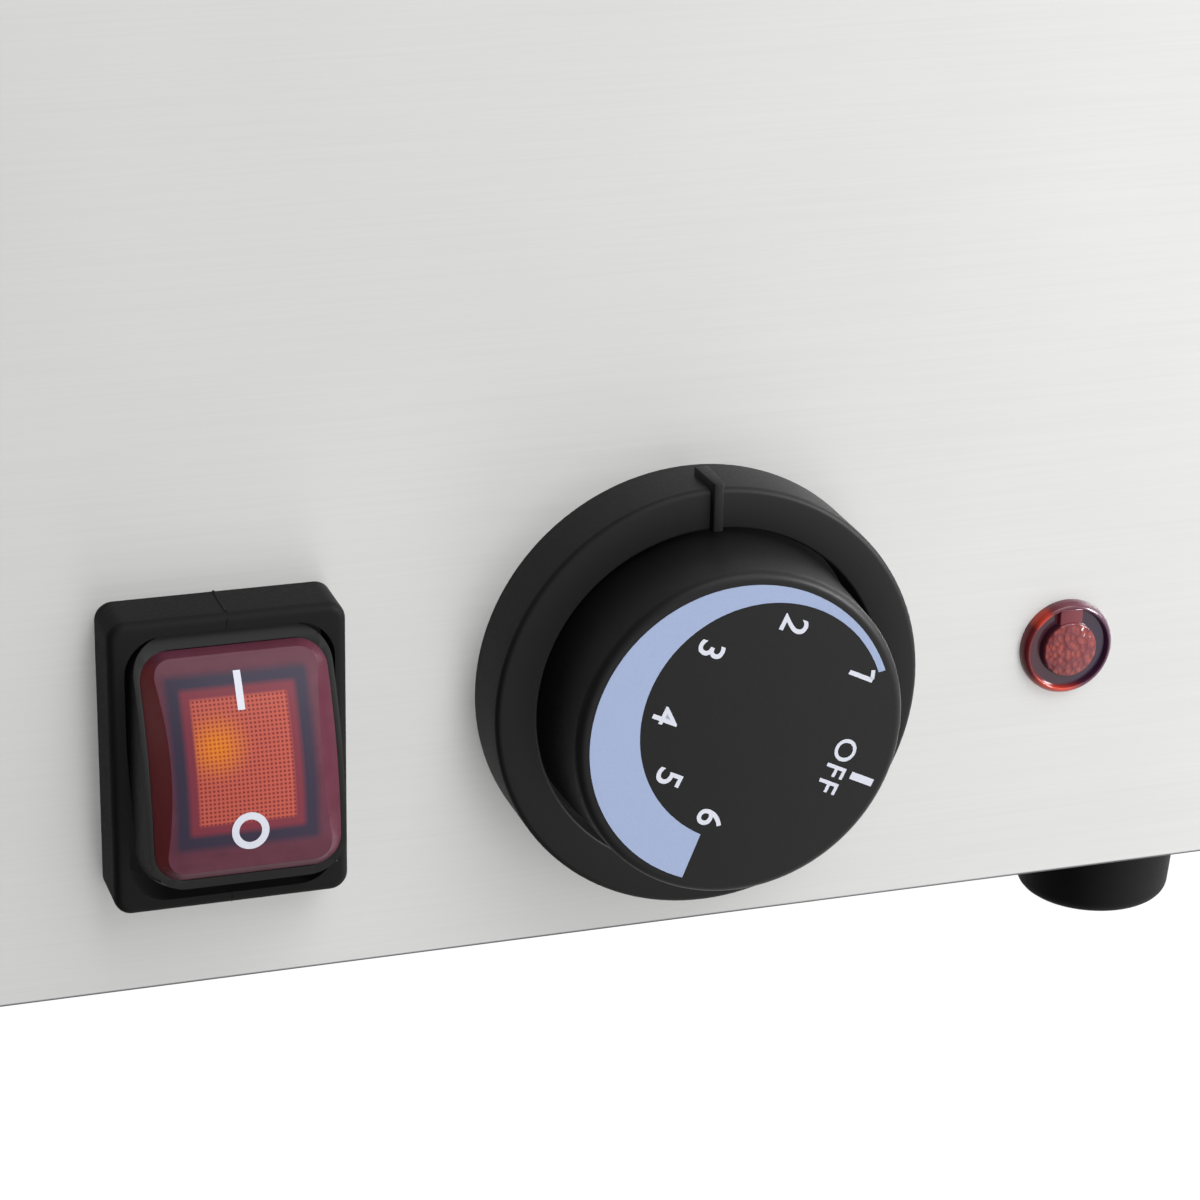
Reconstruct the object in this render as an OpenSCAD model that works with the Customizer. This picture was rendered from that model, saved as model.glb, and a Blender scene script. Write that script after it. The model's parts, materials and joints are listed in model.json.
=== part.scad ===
// Electric bain-marie: a countertop wet-well food warmer that takes one full-size pan.
// Frame: +Z up, the control panel faces -Y, X to the right seen from the front.
// The origin is the bottom centre of the whole outline.

/* [Casing] */
// Distance from each side of the casing to the inside of the well
side_bay = 16; // [14:1:60]
// Distance from the panel face to the inside of the well
front_bay = 56; // [54:1:80]
// Distance from the rear panel to the inside of the well
rear_bay = 21; // [16:1:80]
// Height of the space under the well
bay_h = 40; // [36:1:70]
// Thickness of the casing sheet
sheet_t = 1; // [0.8:0.1:1.5]
// Outer bend radius of the two front corners
bend_r = 3; // [2:0.5:6]
// Width of the folded flanges
flange_w = 11; // [8:1:12]
// Height of the lip that the deck hangs over the casing
lip_h = 10; // [6:1:20]
// Gap between the deck lip and the casing
lip_gap = 0.2; // [0.1:0.1:0.6]
// Radius of the casing screws
case_screw_r = 1.75; // [1.5:0.25:2.5]

/* [Well] */
// Gap between the pan at its rim and the well
pan_gap = 3; // [2:0.5:6]
// Space between the pan's floor and the well's floor
pan_clear = 34; // [30:1:60]
// Inside corner radius of the well
well_r = 22; // [10:1:40]

/* [Pan] */
// Width of the pan at the rim, outside
pan_w = 300; // [260:1:360]
// Length of the pan at the rim, outside
pan_l = 505; // [440:1:560]
// Depth of the pan
pan_depth = 150; // [100:1:200]
// Inward slope of each pan wall over its depth
pan_draft = 10; // [4:1:16]
// Corner radius of the pan at the rim
pan_r = 34; // [28:1:45]
// Radius of the pan's bottom edge
pan_edge_r = 22; // [12:1:27]
// Thickness of the pan sheet
pan_t = 0.9; // [0.7:0.1:1.2]
// Width of the pan's flat flange
pan_flange = 12.5; // [11:0.5:14]
// Gap between stacked rims
seat_gap = 0.2; // [0.1:0.1:0.4]

/* [Lid] */
// Thickness of the lid sheet
lid_t = 0.9; // [0.7:0.1:1.2]
// Height of the raised lid field
lid_rise = 15; // [10:1:25]
// Width of the flat lid rim
lid_rim = 17; // [14:1:24]
// Inward slope of the raised field's sides
lid_slope = 9; // [4:1:14]
// Radius of the hinge pin
pin_r = 2; // [1.5:0.1:2.5]
// Outer radius of the hinge knuckles
knuckle_r = 3.4; // [3:0.1:4]
// Number of hinge knuckles
knuckles = 9; // [5:2:13]
// Distance of each handle from the hinge line
handle_y = 196; // [120:1:205]
// Distance between the two feet of a handle
handle_span = 104; // [90:1:130]
// Height of the handle's centre line above the lid
handle_h = 32; // [28:1:36]
// Radius of the handle rod
handle_r = 4; // [3:0.25:5]
// Bend radius of the handle rod
handle_bend = 12; // [8:1:16]

/* [Feet] */
// Height of the rubber feet
foot_h = 13.5; // [8:0.5:40]
// Radius of a foot at the top
foot_r = 12.4; // [10:0.1:18]
// Radius of a foot at the bottom
foot_low_r = 11.2; // [9.4:0.1:16]
// Distance of a foot's axis from the front or rear panel
foot_inset = 22; // [20:0.5:45]
// Distance of a foot's axis from the side wall
foot_side = 28.8; // [22:0.2:45]
// Radius of the foot screws
foot_screw_r = 2.5; // [2:0.25:3]

/* [Dial] */
// Sideways place of the dial
knob_x = 66; // [56:0.5:80]
// Height of the dial above the lower panel edge
knob_z = 37.4; // [36:0.2:60]
// Outer radius of the fixed ring
ring_r = 30; // [28:0.5:33]
// Height of the fixed ring
ring_h = 9.9; // [8:0.1:13]
// Width of the ring's front face
ring_face = 5.7; // [4.5:0.1:6.5]
// Thickness of the ring's floor
ring_floor = 2; // [1.5:0.1:2.5]
// Width of the pointer ridge
ridge_w = 1.7; // [1:0.1:2.5]
// Height of the pointer ridge
ridge_h = 1.2; // [0.5:0.1:1.5]
// Distance of the pointer ridge's rear end from the panel
ridge_low = 4; // [2:0.5:6]
// Gap between knob skirt and ring
knob_gap = 0.6; // [0.4:0.1:0.9]
// Distance of the knob face from the panel
knob_face = 22.6; // [20:0.1:26]
// Inward slope of the knob's side
knob_draft = 0.9; // [0.4:0.1:1.5]
// Rounded edge of the knob face
knob_edge = 1.1; // [0.6:0.1:1.6]
// Wall of the knob
knob_wall = 2; // [1.5:0.1:2.4]

/* [Thermostat] */
// Radius of the control shaft
shaft_r = 3; // [2.5:0.1:3.5]
// Clearance of turning shafts
run_gap = 0.05; // [0.02:0.01:0.08]
// Radius of the threaded neck
neck_r = 5; // [4.5:0.1:6]
// Width of the thermostat body
thermo_w = 44; // [36:1:50]
// Height of the thermostat body
thermo_h = 34; // [30:1:38]
// Depth of the thermostat body
thermo_d = 24; // [20:1:26]
// Distance between the fixing screws
thermo_pitch = 28; // [24:0.5:32]
// Radius of the fixing screws
thermo_screw_r = 2; // [1.5:0.1:2.25]
// Radius of the sensing bulb
bulb_r = 3; // [2.5:0.1:4]
// Length of the sensing bulb
bulb_l = 80; // [60:1:90]

/* [Switch] */
// Sideways place of the switch
switch_x = 0.8; // [-12:0.1:6]
// Height of the switch above the lower panel edge
switch_z = 35.4; // [34:0.2:60]
// Width of the rubber flange
boot_w = 31; // [30.6:0.2:36]
// Height of the rubber flange
boot_h = 41.4; // [40.8:0.2:46]
// Thickness of the rubber flange
boot_t = 8.4; // [7:0.1:10]
// Corner radius of the rubber flange
boot_r = 2.4; // [2:0.1:4]
// Width of the eased front edges of the rubber flange
boot_ease = 0.7; // [0.4:0.1:0.8]
// Width of the rocker
rocker_w = 27; // [25:0.2:27.6]
// Length of the rocker
rocker_l = 33.4; // [32:0.2:34]
// Gap at each end of the rocker
rocker_gap = 1.9; // [1.8:0.1:2.2]
// Gap at each side of the rocker
rocker_side = 0.35; // [0.3:0.05:0.6]
// Tilt of the rocker to either side
rocker_tilt = 17; // [8:0.5:17.5]
// Wall of the rocker's collar
collar_t = 1.7; // [1.2:0.1:2]
// Height of the rocker's floor above the panel
rocker_rise = 7.4; // [7.3:0.1:8]
// Height of the rocker's pin above the panel
pivot_rise = 4; // [2:0.1:4.1]
// Height of the collar
collar_h = 4.2; // [3:0.1:5]
// Crown height of the lens above the rocker's floor
lens_h = 9.1; // [6:0.1:9.5]
// Fall of the lens from its crown to its ends
lens_sag = 2.8; // [1:0.1:4]
// Lean of each long side of the lens above the collar
lens_lean = 1.4; // [0.6:0.1:2]
// Width of the switch housing
housing_w = 21.4; // [19:0.2:22]
// Length of the switch housing
housing_l = 29.4; // [26:0.2:30.6]
// Depth of the switch housing
housing_d = 21; // [18:0.5:25]
// Radius of the rocker pin
rocker_pin_r = 1.2; // [1:0.1:1.4]

/* [Lamp] */
// Sideways place of the lamp
lamp_x = 122.6; // [110:0.2:150]
// Height of the lamp above the lower panel edge
lamp_z = 35.2; // [30:0.2:60]
// Radius of the lamp head
lamp_r = 6.9; // [6:0.1:9]
// Height of the lamp head
lamp_h = 2.6; // [2:0.1:4]
// Radius of the lamp barrel
lamp_barrel_r = 5; // [4.5:0.1:6]
// Length of the lamp barrel behind the panel
lamp_l = 24; // [16:0.5:30]

/* [Heating] */
// Radius of the heating tube
tube_r = 4.25; // [3.5:0.25:5]
// Distance between neighbouring tube runs
tube_pitch = 40; // [34:1:44]
// Height of the tube above the well floor
tube_z = 16; // [14:0.5:20]
// Radius of the gland necks
tube_neck_r = 7; // [6:0.25:8]
// Radius of the gland collars
tube_collar_r = 10; // [9:0.5:11]

/* [Drain] */
// Sideways place of the tap
tap_x = -104; // [-120:1:-100]
// Outer radius of the drain pipe
pipe_r = 8; // [7:0.25:8.5]
// Inside radius of the drain pipe
pipe_in_r = 6; // [5:0.25:6.5]
// Radius of the tap barrel
tap_r = 11.5; // [11:0.25:14]
// Radius of the tap neck through the panel
tap_neck_r = 10.3; // [10:0.1:11]
// Distance of the tap's ball from the panel
tap_ball_y = 21; // [19:0.5:26]
// Radius of the tap's ball
ball_r = 8; // [7:0.25:8.5]
// Radius of the water way through the tap
way_r = 5; // [4:0.25:5.5]
// Distance of the spout from the panel
spout_y = 42; // [40:0.5:50]
// Outer radius of the spout
spout_r = 7.5; // [7:0.25:9]
// Drop of the spout below the tap axis
spout_drop = 27; // [20:0.5:34]
// Radius of the tap stem
stem_r = 3; // [2.5:0.1:3.5]
// Length of the tap lever
lever_l = 52; // [40:1:58]
// Width of the tap lever
lever_w = 10; // [8:0.5:14]
// Thickness of the tap lever
lever_t = 3; // [2:0.25:4]

/* [Cord entry] */
// Sideways place of the cord entry
gland_x = 96; // [80:1:110]
// Height of the cord entry above the lower edge
gland_z = 21; // [18:0.5:30]
// Radius of the gland thread
gland_r = 8; // [7:0.25:9]
// Radius of the cord hole
gland_bore_r = 4.2; // [3.5:0.1:5]
// Length of the gland outside the panel
gland_l = 22; // [18:0.5:28]

/* [Hidden] */
$fn = 64;
fit = 0.2;
front_reach = spout_y + spout_r;
rear_reach = gland_l;
well_w = pan_w + 2 * pan_gap;
well_l = pan_l + 2 * pan_gap;
well_depth = pan_depth + pan_clear;
case_w = well_w + 2 * side_bay;
case_d = front_bay + well_l + rear_bay;
case_h = well_depth + bay_h;
y_front = (front_reach - case_d - rear_reach) / 2;
y_rear = y_front + case_d;
z_low = foot_h + sheet_t;
z_deck = z_low + case_h + sheet_t;
deck_w = case_w + 2 * (sheet_t + lip_gap);
deck_d = case_d + 2 * (sheet_t + lip_gap);
deck_r = bend_r + sheet_t + lip_gap;
well_y = y_front + front_bay + well_l / 2;
z_floor = z_deck - well_depth;
y_wall = y_front + front_bay - sheet_t;
z_pan = z_deck + seat_gap;
pan_out_w = pan_w + 2 * pan_flange;
pan_out_l = pan_l + 2 * pan_flange;
z_rim = z_pan + pan_t + seat_gap;
lid_w = pan_out_w - 2;
lid_l = pan_out_l - 2;
z_lid = z_rim + lid_rise;
hinge_gap = knuckle_r + 0.4;
fold_gap = 0.4;
z_hinge = z_lid + 0.5;
knuckle_l = (lid_w - 2 * lid_rim - 2 * lid_slope) / knuckles;
base_inset = 2;
foot_x = case_w / 2 - foot_side;
foot_bore_r = 1.9 * foot_screw_r + 0.9;
foot_yf = y_front + foot_inset;
foot_yr = y_rear - foot_inset;
screw_depth = 6;
ring_in_r = ring_r - ring_face;
skirt_r = ring_in_r - knob_gap;
knob_low = ring_floor + 1.2;
hub_r = 2 * shaft_r + 0.6;
shaft_top = knob_face - knob_wall - 1;
flat_y = 0.55 * shaft_r;
bulb_z = z_low + knob_z + thermo_h / 2 + 18;
bulb_y = y_wall - bulb_r - 0.4;
capillary_r = 1;
capillary_bend = 6;
capillary_x = knob_x - thermo_w / 2 + 4;
rocker_r = 5.2;
lens_w = rocker_w - 2 * collar_t - 2 * fit;
lens_l = rocker_l - 2 * collar_t - 2 * fit;
lens_r = rocker_r - collar_t;
lens_big_r = (lens_l * lens_l / 4 + lens_sag * lens_sag) / (2 * lens_sag);
boot_in_w = rocker_w + 2 * rocker_side;
boot_in_l = rocker_l + 2 * rocker_gap;
z_tap = z_floor + pipe_in_r + 1;
tap_seal_t = 1.5;
tap_split = tap_ball_y + 6.5;
spigot_r = ball_r + 1;
lever_z = tap_r + 4;
element_z = z_floor + tube_z;
element_x = 1.5 * tube_pitch;
element_front = y_wall + sheet_t + 60;
element_rear = y_wall + sheet_t + well_l - 60 - tube_pitch / 2;
element_end = y_wall - 13;
collar_t2 = 3;
seal_t = 1.5;
steel = [0.80, 0.81, 0.82];
dark = [0.10, 0.10, 0.11];
zinc = [0.72, 0.72, 0.70];

// Rectangle with round corners, centred.
module rounded(w, d, r) {
    square([w - 2 * r, d], center = true);
    square([w, d - 2 * r], center = true);
    for (sx = [-1, 1])
        for (sy = [-1, 1])
            translate([sx * (w / 2 - r), sy * (d / 2 - r)])
                circle(r);
}

// Rectangle from y = 0 backwards with two round front corners.
module front_round(w, d, r) {
    translate([-w / 2, r])
        square([w, d - r]);
    translate([r - w / 2, 0])
        square([w - 2 * r, 2 * r]);
    for (s = [-1, 1])
        translate([s * (w / 2 - r), r])
            circle(r);
}

// Panel frame: local z points out of the panel, local y points up.
// Turns the rocker's pieces about their pin, with the upper half pressed in.
module on_pivot() {
    on_panel(switch_x, z_low + switch_z)
        translate([0, 0, pivot_rise])
            rotate([-rocker_tilt, 0, 0])
                translate([0, 0, -pivot_rise])
                    children();
}

module on_panel(x, z) {
    translate([x, y_front, z])
        rotate([90, 0, 0])
            children();
}

// Six-sided nut or head by its corner radius.
module hexagon(r, h) {
    cylinder(r = r, h = h, $fn = 6);
}

module corner_feet() {
    for (sx = [-1, 1])
        for (y = [foot_yf, foot_yr])
            translate([sx * foot_x, y, 0])
                children();
}

module base_screw_places() {
    for (sx = [-1, 1])
        for (k = [0.16, 0.5, 0.84])
            translate([sx * (case_w / 2 - flange_w / 2 - 0.5), y_front + k * case_d, 0])
                children();
}

module rear_screw_places() {
    for (sx = [-1, 1])
        for (k = [0.15, 0.5, 0.85])
            translate([sx * (case_w / 2 - flange_w / 2 - 0.5), y_rear, z_low + k * (case_h - lip_h)])
                rotate([-90, 0, 0])
                    children();
}

// Front and both sides, folded from one sheet, with inward flanges all round.
module outer_casing() {
    color(steel)
        difference() {
            translate([0, y_front, z_low])
                union() {
                    linear_extrude(case_h)
                        difference() {
                            front_round(case_w, case_d - sheet_t, bend_r);
                            translate([0, sheet_t])
                                front_round(case_w - 2 * sheet_t, case_d, bend_r - sheet_t);
                        }
                    for (z = [0, case_h - sheet_t])
                        translate([0, 0, z])
                            linear_extrude(sheet_t)
                                difference() {
                                    front_round(case_w, case_d - sheet_t, bend_r);
                                    translate([flange_w - case_w / 2, flange_w])
                                        square([case_w - 2 * flange_w, case_d]);
                                }
                    for (s = [-1, 1])
                        translate([s * (case_w - flange_w) / 2, case_d - 1.5 * sheet_t, case_h / 2])
                            cube([flange_w, sheet_t, case_h], center = true);
                }
            on_panel(knob_x, z_low + knob_z) {
                cylinder(r = neck_r + fit, h = 4 * sheet_t, center = true);
                for (s = [-1, 1])
                    translate([s * thermo_pitch / 2, 0, 0])
                        cylinder(r = thermo_screw_r + fit, h = 4 * sheet_t, center = true);
            }
            on_panel(switch_x, z_low + switch_z)
                cube([housing_w + 2 * fit, housing_l + 2 * fit, 4 * sheet_t], center = true);
            on_panel(lamp_x, z_low + lamp_z)
                cylinder(r = lamp_barrel_r + fit, h = 4 * sheet_t, center = true);
            on_panel(tap_x, z_tap)
                cylinder(r = tap_neck_r + fit, h = 4 * sheet_t, center = true);
            translate([0, 0, z_low])
                base_screw_places()
                    cylinder(r = case_screw_r + fit, h = 4 * sheet_t, center = true);
            rear_screw_places()
                cylinder(r = case_screw_r + fit, h = 6 * sheet_t, center = true);
        }
}

// Flat rear sheet with a folded foot and head between the side returns.
module rear_panel() {
    fold_w = case_w - 2 * flange_w - 2;
    color(steel)
        difference() {
            union() {
                translate([-case_w / 2, y_rear - sheet_t, z_low])
                    cube([case_w, sheet_t, case_h]);
                for (z = [z_low, z_low + case_h - sheet_t])
                    translate([-fold_w / 2, y_rear - flange_w, z])
                        cube([fold_w, flange_w, sheet_t]);
            }
            translate([gland_x, y_rear, z_low + gland_z])
                rotate([90, 0, 0])
                    cylinder(r = gland_r + fit, h = 4 * sheet_t, center = true);
            rear_screw_places()
                cylinder(r = case_screw_r + fit, h = 6 * sheet_t, center = true);
        }
}

// Base sheet under the flanges, with rows of air slots.
module base_plate() {
    color(zinc)
        difference() {
            translate([0, y_front + case_d / 2, foot_h])
                linear_extrude(sheet_t)
                    rounded(case_w - 2 * base_inset, case_d - 2 * base_inset, bend_r);
            corner_feet()
                translate([0, 0, foot_h - 1])
                    cylinder(r = foot_screw_r + fit, h = sheet_t + 2);
            translate([0, 0, foot_h - 1])
                base_screw_places()
                    cylinder(r = case_screw_r + fit, h = sheet_t + 2);
            for (sx = [-1, 1])
                for (k = [0:1:5])
                    translate([sx * 80, y_front + 0.36 * case_d + 26 * k, foot_h - 1])
                        linear_extrude(sheet_t + 2)
                            rounded(90, 5, 2.4);
        }
}

// Deck with the well opening and a lip over the casing.
module top_deck() {
    color(steel)
        difference() {
            translate([0, y_front - sheet_t - lip_gap, z_deck - lip_h])
                difference() {
                    linear_extrude(lip_h)
                        front_round(deck_w, deck_d, deck_r);
                    translate([0, sheet_t, -sheet_t])
                        linear_extrude(lip_h)
                            front_round(deck_w - 2 * sheet_t, deck_d - 2 * sheet_t, deck_r - sheet_t);
                }
            translate([0, well_y, z_deck - lip_h])
                linear_extrude(2 * lip_h)
                    rounded(well_w, well_l, well_r);
        }
}

// Water well welded under the deck opening.
module water_tank() {
    color(steel)
        difference() {
            translate([0, well_y, z_floor - sheet_t])
                difference() {
                    linear_extrude(well_depth)
                        rounded(well_w + 2 * sheet_t, well_l + 2 * sheet_t, well_r + sheet_t);
                    translate([0, 0, sheet_t])
                        linear_extrude(well_depth)
                            rounded(well_w, well_l, well_r);
                }
            for (s = [-1, 1])
                translate([s * element_x, y_wall, element_z])
                    rotate([90, 0, 0])
                        cylinder(r = tube_neck_r + fit, h = 6 * sheet_t, center = true);
            translate([tap_x, y_wall, z_tap])
                rotate([90, 0, 0])
                    cylinder(r = pipe_r + run_gap, h = 6 * sheet_t, center = true);
        }
}

module pan_head(r, h) {
    cylinder(r = 1.9 * r, h = h);
    translate([0, 0, -screw_depth])
        cylinder(r = r, h = screw_depth + 0.1);
}

module rear_screws() {
    color(zinc)
        rear_screw_places()
            pan_head(case_screw_r, 1.6);
}

module base_screws() {
    color(zinc)
        translate([0, 0, foot_h])
            base_screw_places()
                mirror([0, 0, 1])
                    pan_head(case_screw_r, 1.6);
}

// Tapered rubber foot with a recess for its screw.
module foot() {
    color(dark)
        rotate_extrude()
            polygon([[foot_screw_r + fit, foot_h], [foot_r, foot_h], [foot_r, foot_h - 2],
                [foot_low_r + 0.6, 2.2], [foot_low_r - 0.4, 0.7], [foot_low_r - 2, 0],
                [foot_bore_r, 0], [foot_bore_r, 6], [foot_screw_r + fit, 6]]);
}

module foot_fl() {
    translate([-foot_x, foot_yf, 0])
        foot();
}

module foot_fr() {
    translate([foot_x, foot_yf, 0])
        foot();
}

module foot_rl() {
    translate([-foot_x, foot_yr, 0])
        foot();
}

module foot_rr() {
    translate([foot_x, foot_yr, 0])
        foot();
}

module foot_screws() {
    color(zinc)
        corner_feet() {
            translate([0, 0, 2.5])
                cylinder(r = 5, h = 3.5);
            translate([0, 0, 5.9])
                cylinder(r = foot_screw_r, h = foot_h + sheet_t + 1);
        }
}

module foot_nuts() {
    color(zinc)
        corner_feet()
            translate([0, 0, z_low])
                difference() {
                    hexagon(4.6, 4);
                    translate([0, 0, -1])
                        cylinder(r = foot_screw_r + run_gap, h = 6);
                }
}

// Fixed ring with the pointer ridge; its floor is clamped under the thermostat screws.
module dial_ring() {
    color(dark)
        on_panel(knob_x, z_low + knob_z)
            difference() {
                union() {
                    rotate_extrude()
                        polygon([[0, 0], [ring_r, 0], [ring_r, ring_h - 0.5], [ring_r - 0.5, ring_h],
                            [0, ring_h]]);
                    translate([-ridge_w / 2, ring_in_r - 1, ridge_low])
                        cube([ridge_w, ring_face + 1 + ridge_h, ring_h + ridge_h - ridge_low]);
                }
                translate([0, 0, ring_floor])
                    cylinder(r = ring_in_r, h = ring_h);
                translate([0, 0, -1])
                    cylinder(r = neck_r + fit, h = ring_floor + 2);
                for (s = [-1, 1])
                    translate([s * thermo_pitch / 2, 0, -1])
                        cylinder(r = thermo_screw_r + fit, h = ring_floor + 2);
                translate([0, 0, -1])
                    difference() {
                        cylinder(r = ring_r - 2, h = ring_h - 1.2);
                        cylinder(r = ring_in_r + 1.6, h = 3 * ring_h, center = true);
                    }
            }
}

module d_section(r) {
    intersection() {
        circle(r);
        translate([0, flat_y + r - 2 * r])
            square([2 * r + 1, 2 * r], center = true);
    }
}

// Hollow knob with a hub on the shaft and four ribs.
module knob() {
    low_r = skirt_r;
    top_r = skirt_r - knob_draft;
    color(dark)
        on_panel(knob_x, z_low + knob_z)
            difference() {
                union() {
                    rotate_extrude()
                        polygon([[0, knob_face], [top_r - knob_edge, knob_face],
                            [top_r - 0.3 * knob_edge, knob_face - 0.3 * knob_edge],
                            [top_r, knob_face - knob_edge], [low_r, knob_low],
                            [low_r - knob_wall, knob_low],
                            [top_r - knob_wall, knob_face - knob_wall], [0, knob_face - knob_wall]]);
                    translate([0, 0, knob_low + 2.4])
                        cylinder(r = hub_r, h = knob_face - knob_low - 2.4 - knob_wall / 2);
                    for (a = [45, 135])
                        rotate([0, 0, a])
                            translate([0, 0, knob_face - knob_wall - 4])
                                cube([2 * (low_r - knob_wall + 0.4), 1.4, 8.6], center = true);
                }
                translate([0, 0, knob_low])
                    linear_extrude(shaft_top - knob_low + 0.4)
                        d_section(shaft_r + run_gap);
            }
}

module thermostat_shaft() {
    color(zinc)
        on_panel(knob_x, z_low + knob_z) {
            translate([0, 0, -7])
                cylinder(r = shaft_r, h = 7 + knob_low + 1.6);
            translate([0, 0, knob_low])
                linear_extrude(shaft_top - knob_low)
                    d_section(shaft_r);
        }
}

// Capillary thermostat against the back of the panel, its neck through panel and ring.
module thermostat_body() {
    color([0.86, 0.84, 0.78])
        on_panel(knob_x, z_low + knob_z)
            difference() {
                union() {
                    translate([0, 0, -sheet_t - thermo_d / 2])
                        cube([thermo_w, thermo_h, thermo_d], center = true);
                    translate([0, 0, -sheet_t - 1])
                        cylinder(r = neck_r, h = sheet_t + 1 + ring_floor + 1);
                }
                translate([0, 0, -8])
                    cylinder(r = shaft_r + run_gap, h = 20);
                for (s = [-1, 1])
                    translate([s * thermo_pitch / 2, 0, -sheet_t - 7])
                        cylinder(r = thermo_screw_r + run_gap, h = 12);
            }
}

module thermostat_screws() {
    color(zinc)
        on_panel(knob_x, z_low + knob_z)
            for (s = [-1, 1])
                translate([s * thermo_pitch / 2, 0, 0]) {
                    translate([0, 0, ring_floor])
                        cylinder(r = 1.8 * thermo_screw_r, h = 1.6);
                    translate([0, 0, -screw_depth])
                        cylinder(r = thermo_screw_r, h = screw_depth + ring_floor + 0.1);
                }
}

module thermostat_tabs() {
    color([0.85, 0.70, 0.35])
        on_panel(knob_x, z_low + knob_z)
            for (x = [-12, 0, 12])
                translate([x, -8, -sheet_t - thermo_d - 4])
                    cube([6.3, 0.8, 8], center = true);
}

// Sensing bulb on the well wall and the thin tube that joins it to the thermostat.
module capillary_bulb() {
    top = z_low + knob_z + thermo_h / 2;
    y0 = y_front + sheet_t + thermo_d / 2;
    color([0.78, 0.50, 0.30]) {
        translate([capillary_x, y0, top])
            cylinder(r = capillary_r, h = bulb_z - capillary_bend - top);
        translate([capillary_x, y0 + capillary_bend, bulb_z - capillary_bend])
            rotate([90, 0, -90])
                rotate_extrude(angle = 90)
                    translate([capillary_bend, 0])
                        circle(capillary_r);
        translate([capillary_x, y0 + capillary_bend, bulb_z])
            rotate([-90, 0, 0])
                cylinder(r = capillary_r, h = bulb_y - y0 - 2 * capillary_bend);
        translate([capillary_x - capillary_bend, bulb_y - capillary_bend, bulb_z])
            rotate_extrude(angle = 90)
                translate([capillary_bend, 0])
                    circle(capillary_r);
        translate([capillary_x - capillary_bend - bulb_l, bulb_y, bulb_z])
            rotate([0, 90, 0])
                cylinder(r = bulb_r, h = bulb_l);
    }
}

module bulb_clips() {
    color(steel)
        for (k = [0.2, 0.8])
            translate([capillary_x - capillary_bend - k * bulb_l, bulb_y, bulb_z])
                difference() {
                    translate([-5, -bulb_r - 1.2, -bulb_r - 3])
                        cube([10, y_wall - bulb_y + bulb_r + 1.2, 2 * bulb_r + 6]);
                    rotate([0, 90, 0])
                        cylinder(r = bulb_r + run_gap, h = 20, center = true);
                }
}

// Section of a slab whose two front edges are cut off at 45 degrees.
module eased(w, t, c) {
    polygon([
        [-w / 2, -1], [w / 2, -1], [w / 2, t - c], [w / 2 - c, t], [c - w / 2, t], [-w / 2, t - c]
    ]);
}

// Rubber flange round the rocker.
module switch_boot() {
    color(dark)
        on_panel(switch_x, z_low + switch_z)
            difference() {
                intersection() {
                    linear_extrude(boot_t)
                        rounded(boot_w, boot_h, boot_r);
                    rotate([90, 0, 0])
                        linear_extrude(2 * boot_h, center = true)
                            eased(boot_w, boot_t, boot_ease);
                    rotate([90, 0, 90])
                        linear_extrude(2 * boot_w, center = true)
                            eased(boot_h, boot_t, boot_ease);
                }
                translate([0, 0, -1])
                    linear_extrude(boot_t + 2)
                        rounded(boot_in_w, boot_in_l, rocker_r);
            }
}

// Switch body in the panel cut-out with ears for the rocker pin and two snap wings.
module switch_housing() {
    ear_r = rocker_pin_r + 0.9;
    slot_w = 12.8;
    color([0.16, 0.16, 0.17])
        on_panel(switch_x, z_low + switch_z)
            difference() {
                union() {
                    translate([-housing_w / 2, -housing_l / 2, -housing_d])
                        cube([housing_w, housing_l, housing_d + 0.4]);
                    linear_extrude(0.7)
                        rounded(boot_in_w - 1.2, boot_in_l - 1.2, rocker_r - 0.6);
                    for (s = [-1, 1])
                        translate([s * (slot_w / 2 + 1.6), 0, pivot_rise]) {
                            rotate([0, 90, 0])
                                cylinder(r = ear_r, h = 3.2, center = true);
                            translate([-1.6, -ear_r, -pivot_rise])
                                cube([3.2, 2 * ear_r, pivot_rise]);
                        }
                    for (s = [-1, 1])
                        translate([0, s * (housing_l / 2 + 0.8), -sheet_t - 3])
                            cube([12, 2.4, 6], center = true);
                }
                translate([-slot_w / 2, -11, -14])
                    cube([slot_w, 22, 20]);
                translate([0, 0, pivot_rise])
                    rotate([0, 90, 0])
                        cylinder(r = rocker_pin_r + run_gap, h = 2 * slot_w, center = true);
            }
}

module rocker_pin() {
    color(zinc)
        on_panel(switch_x, z_low + switch_z)
            translate([0, 0, pivot_rise])
                rotate([0, 90, 0])
                    cylinder(r = rocker_pin_r, h = 19, center = true);
}

// Rocker frame, drawn tilted with its upper half pressed in.
module switch_rocker() {
    color(dark)
        on_pivot()
            difference() {
                union() {
                    translate([0, 0, rocker_rise])
                        linear_extrude(collar_h)
                            rounded(rocker_w, rocker_l, rocker_r);
                    translate([-6, -4, -7])
                        cube([12, 8, 7 + rocker_rise + 0.5]);
                }
                translate([0, 0, rocker_rise + 1])
                    linear_extrude(collar_h)
                        rounded(rocker_w - 2 * collar_t, rocker_l - 2 * collar_t, rocker_r - collar_t);
                translate([0, 0, pivot_rise])
                    rotate([0, 90, 0])
                        cylinder(r = rocker_pin_r + run_gap, h = 30, center = true);
            }
}

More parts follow.
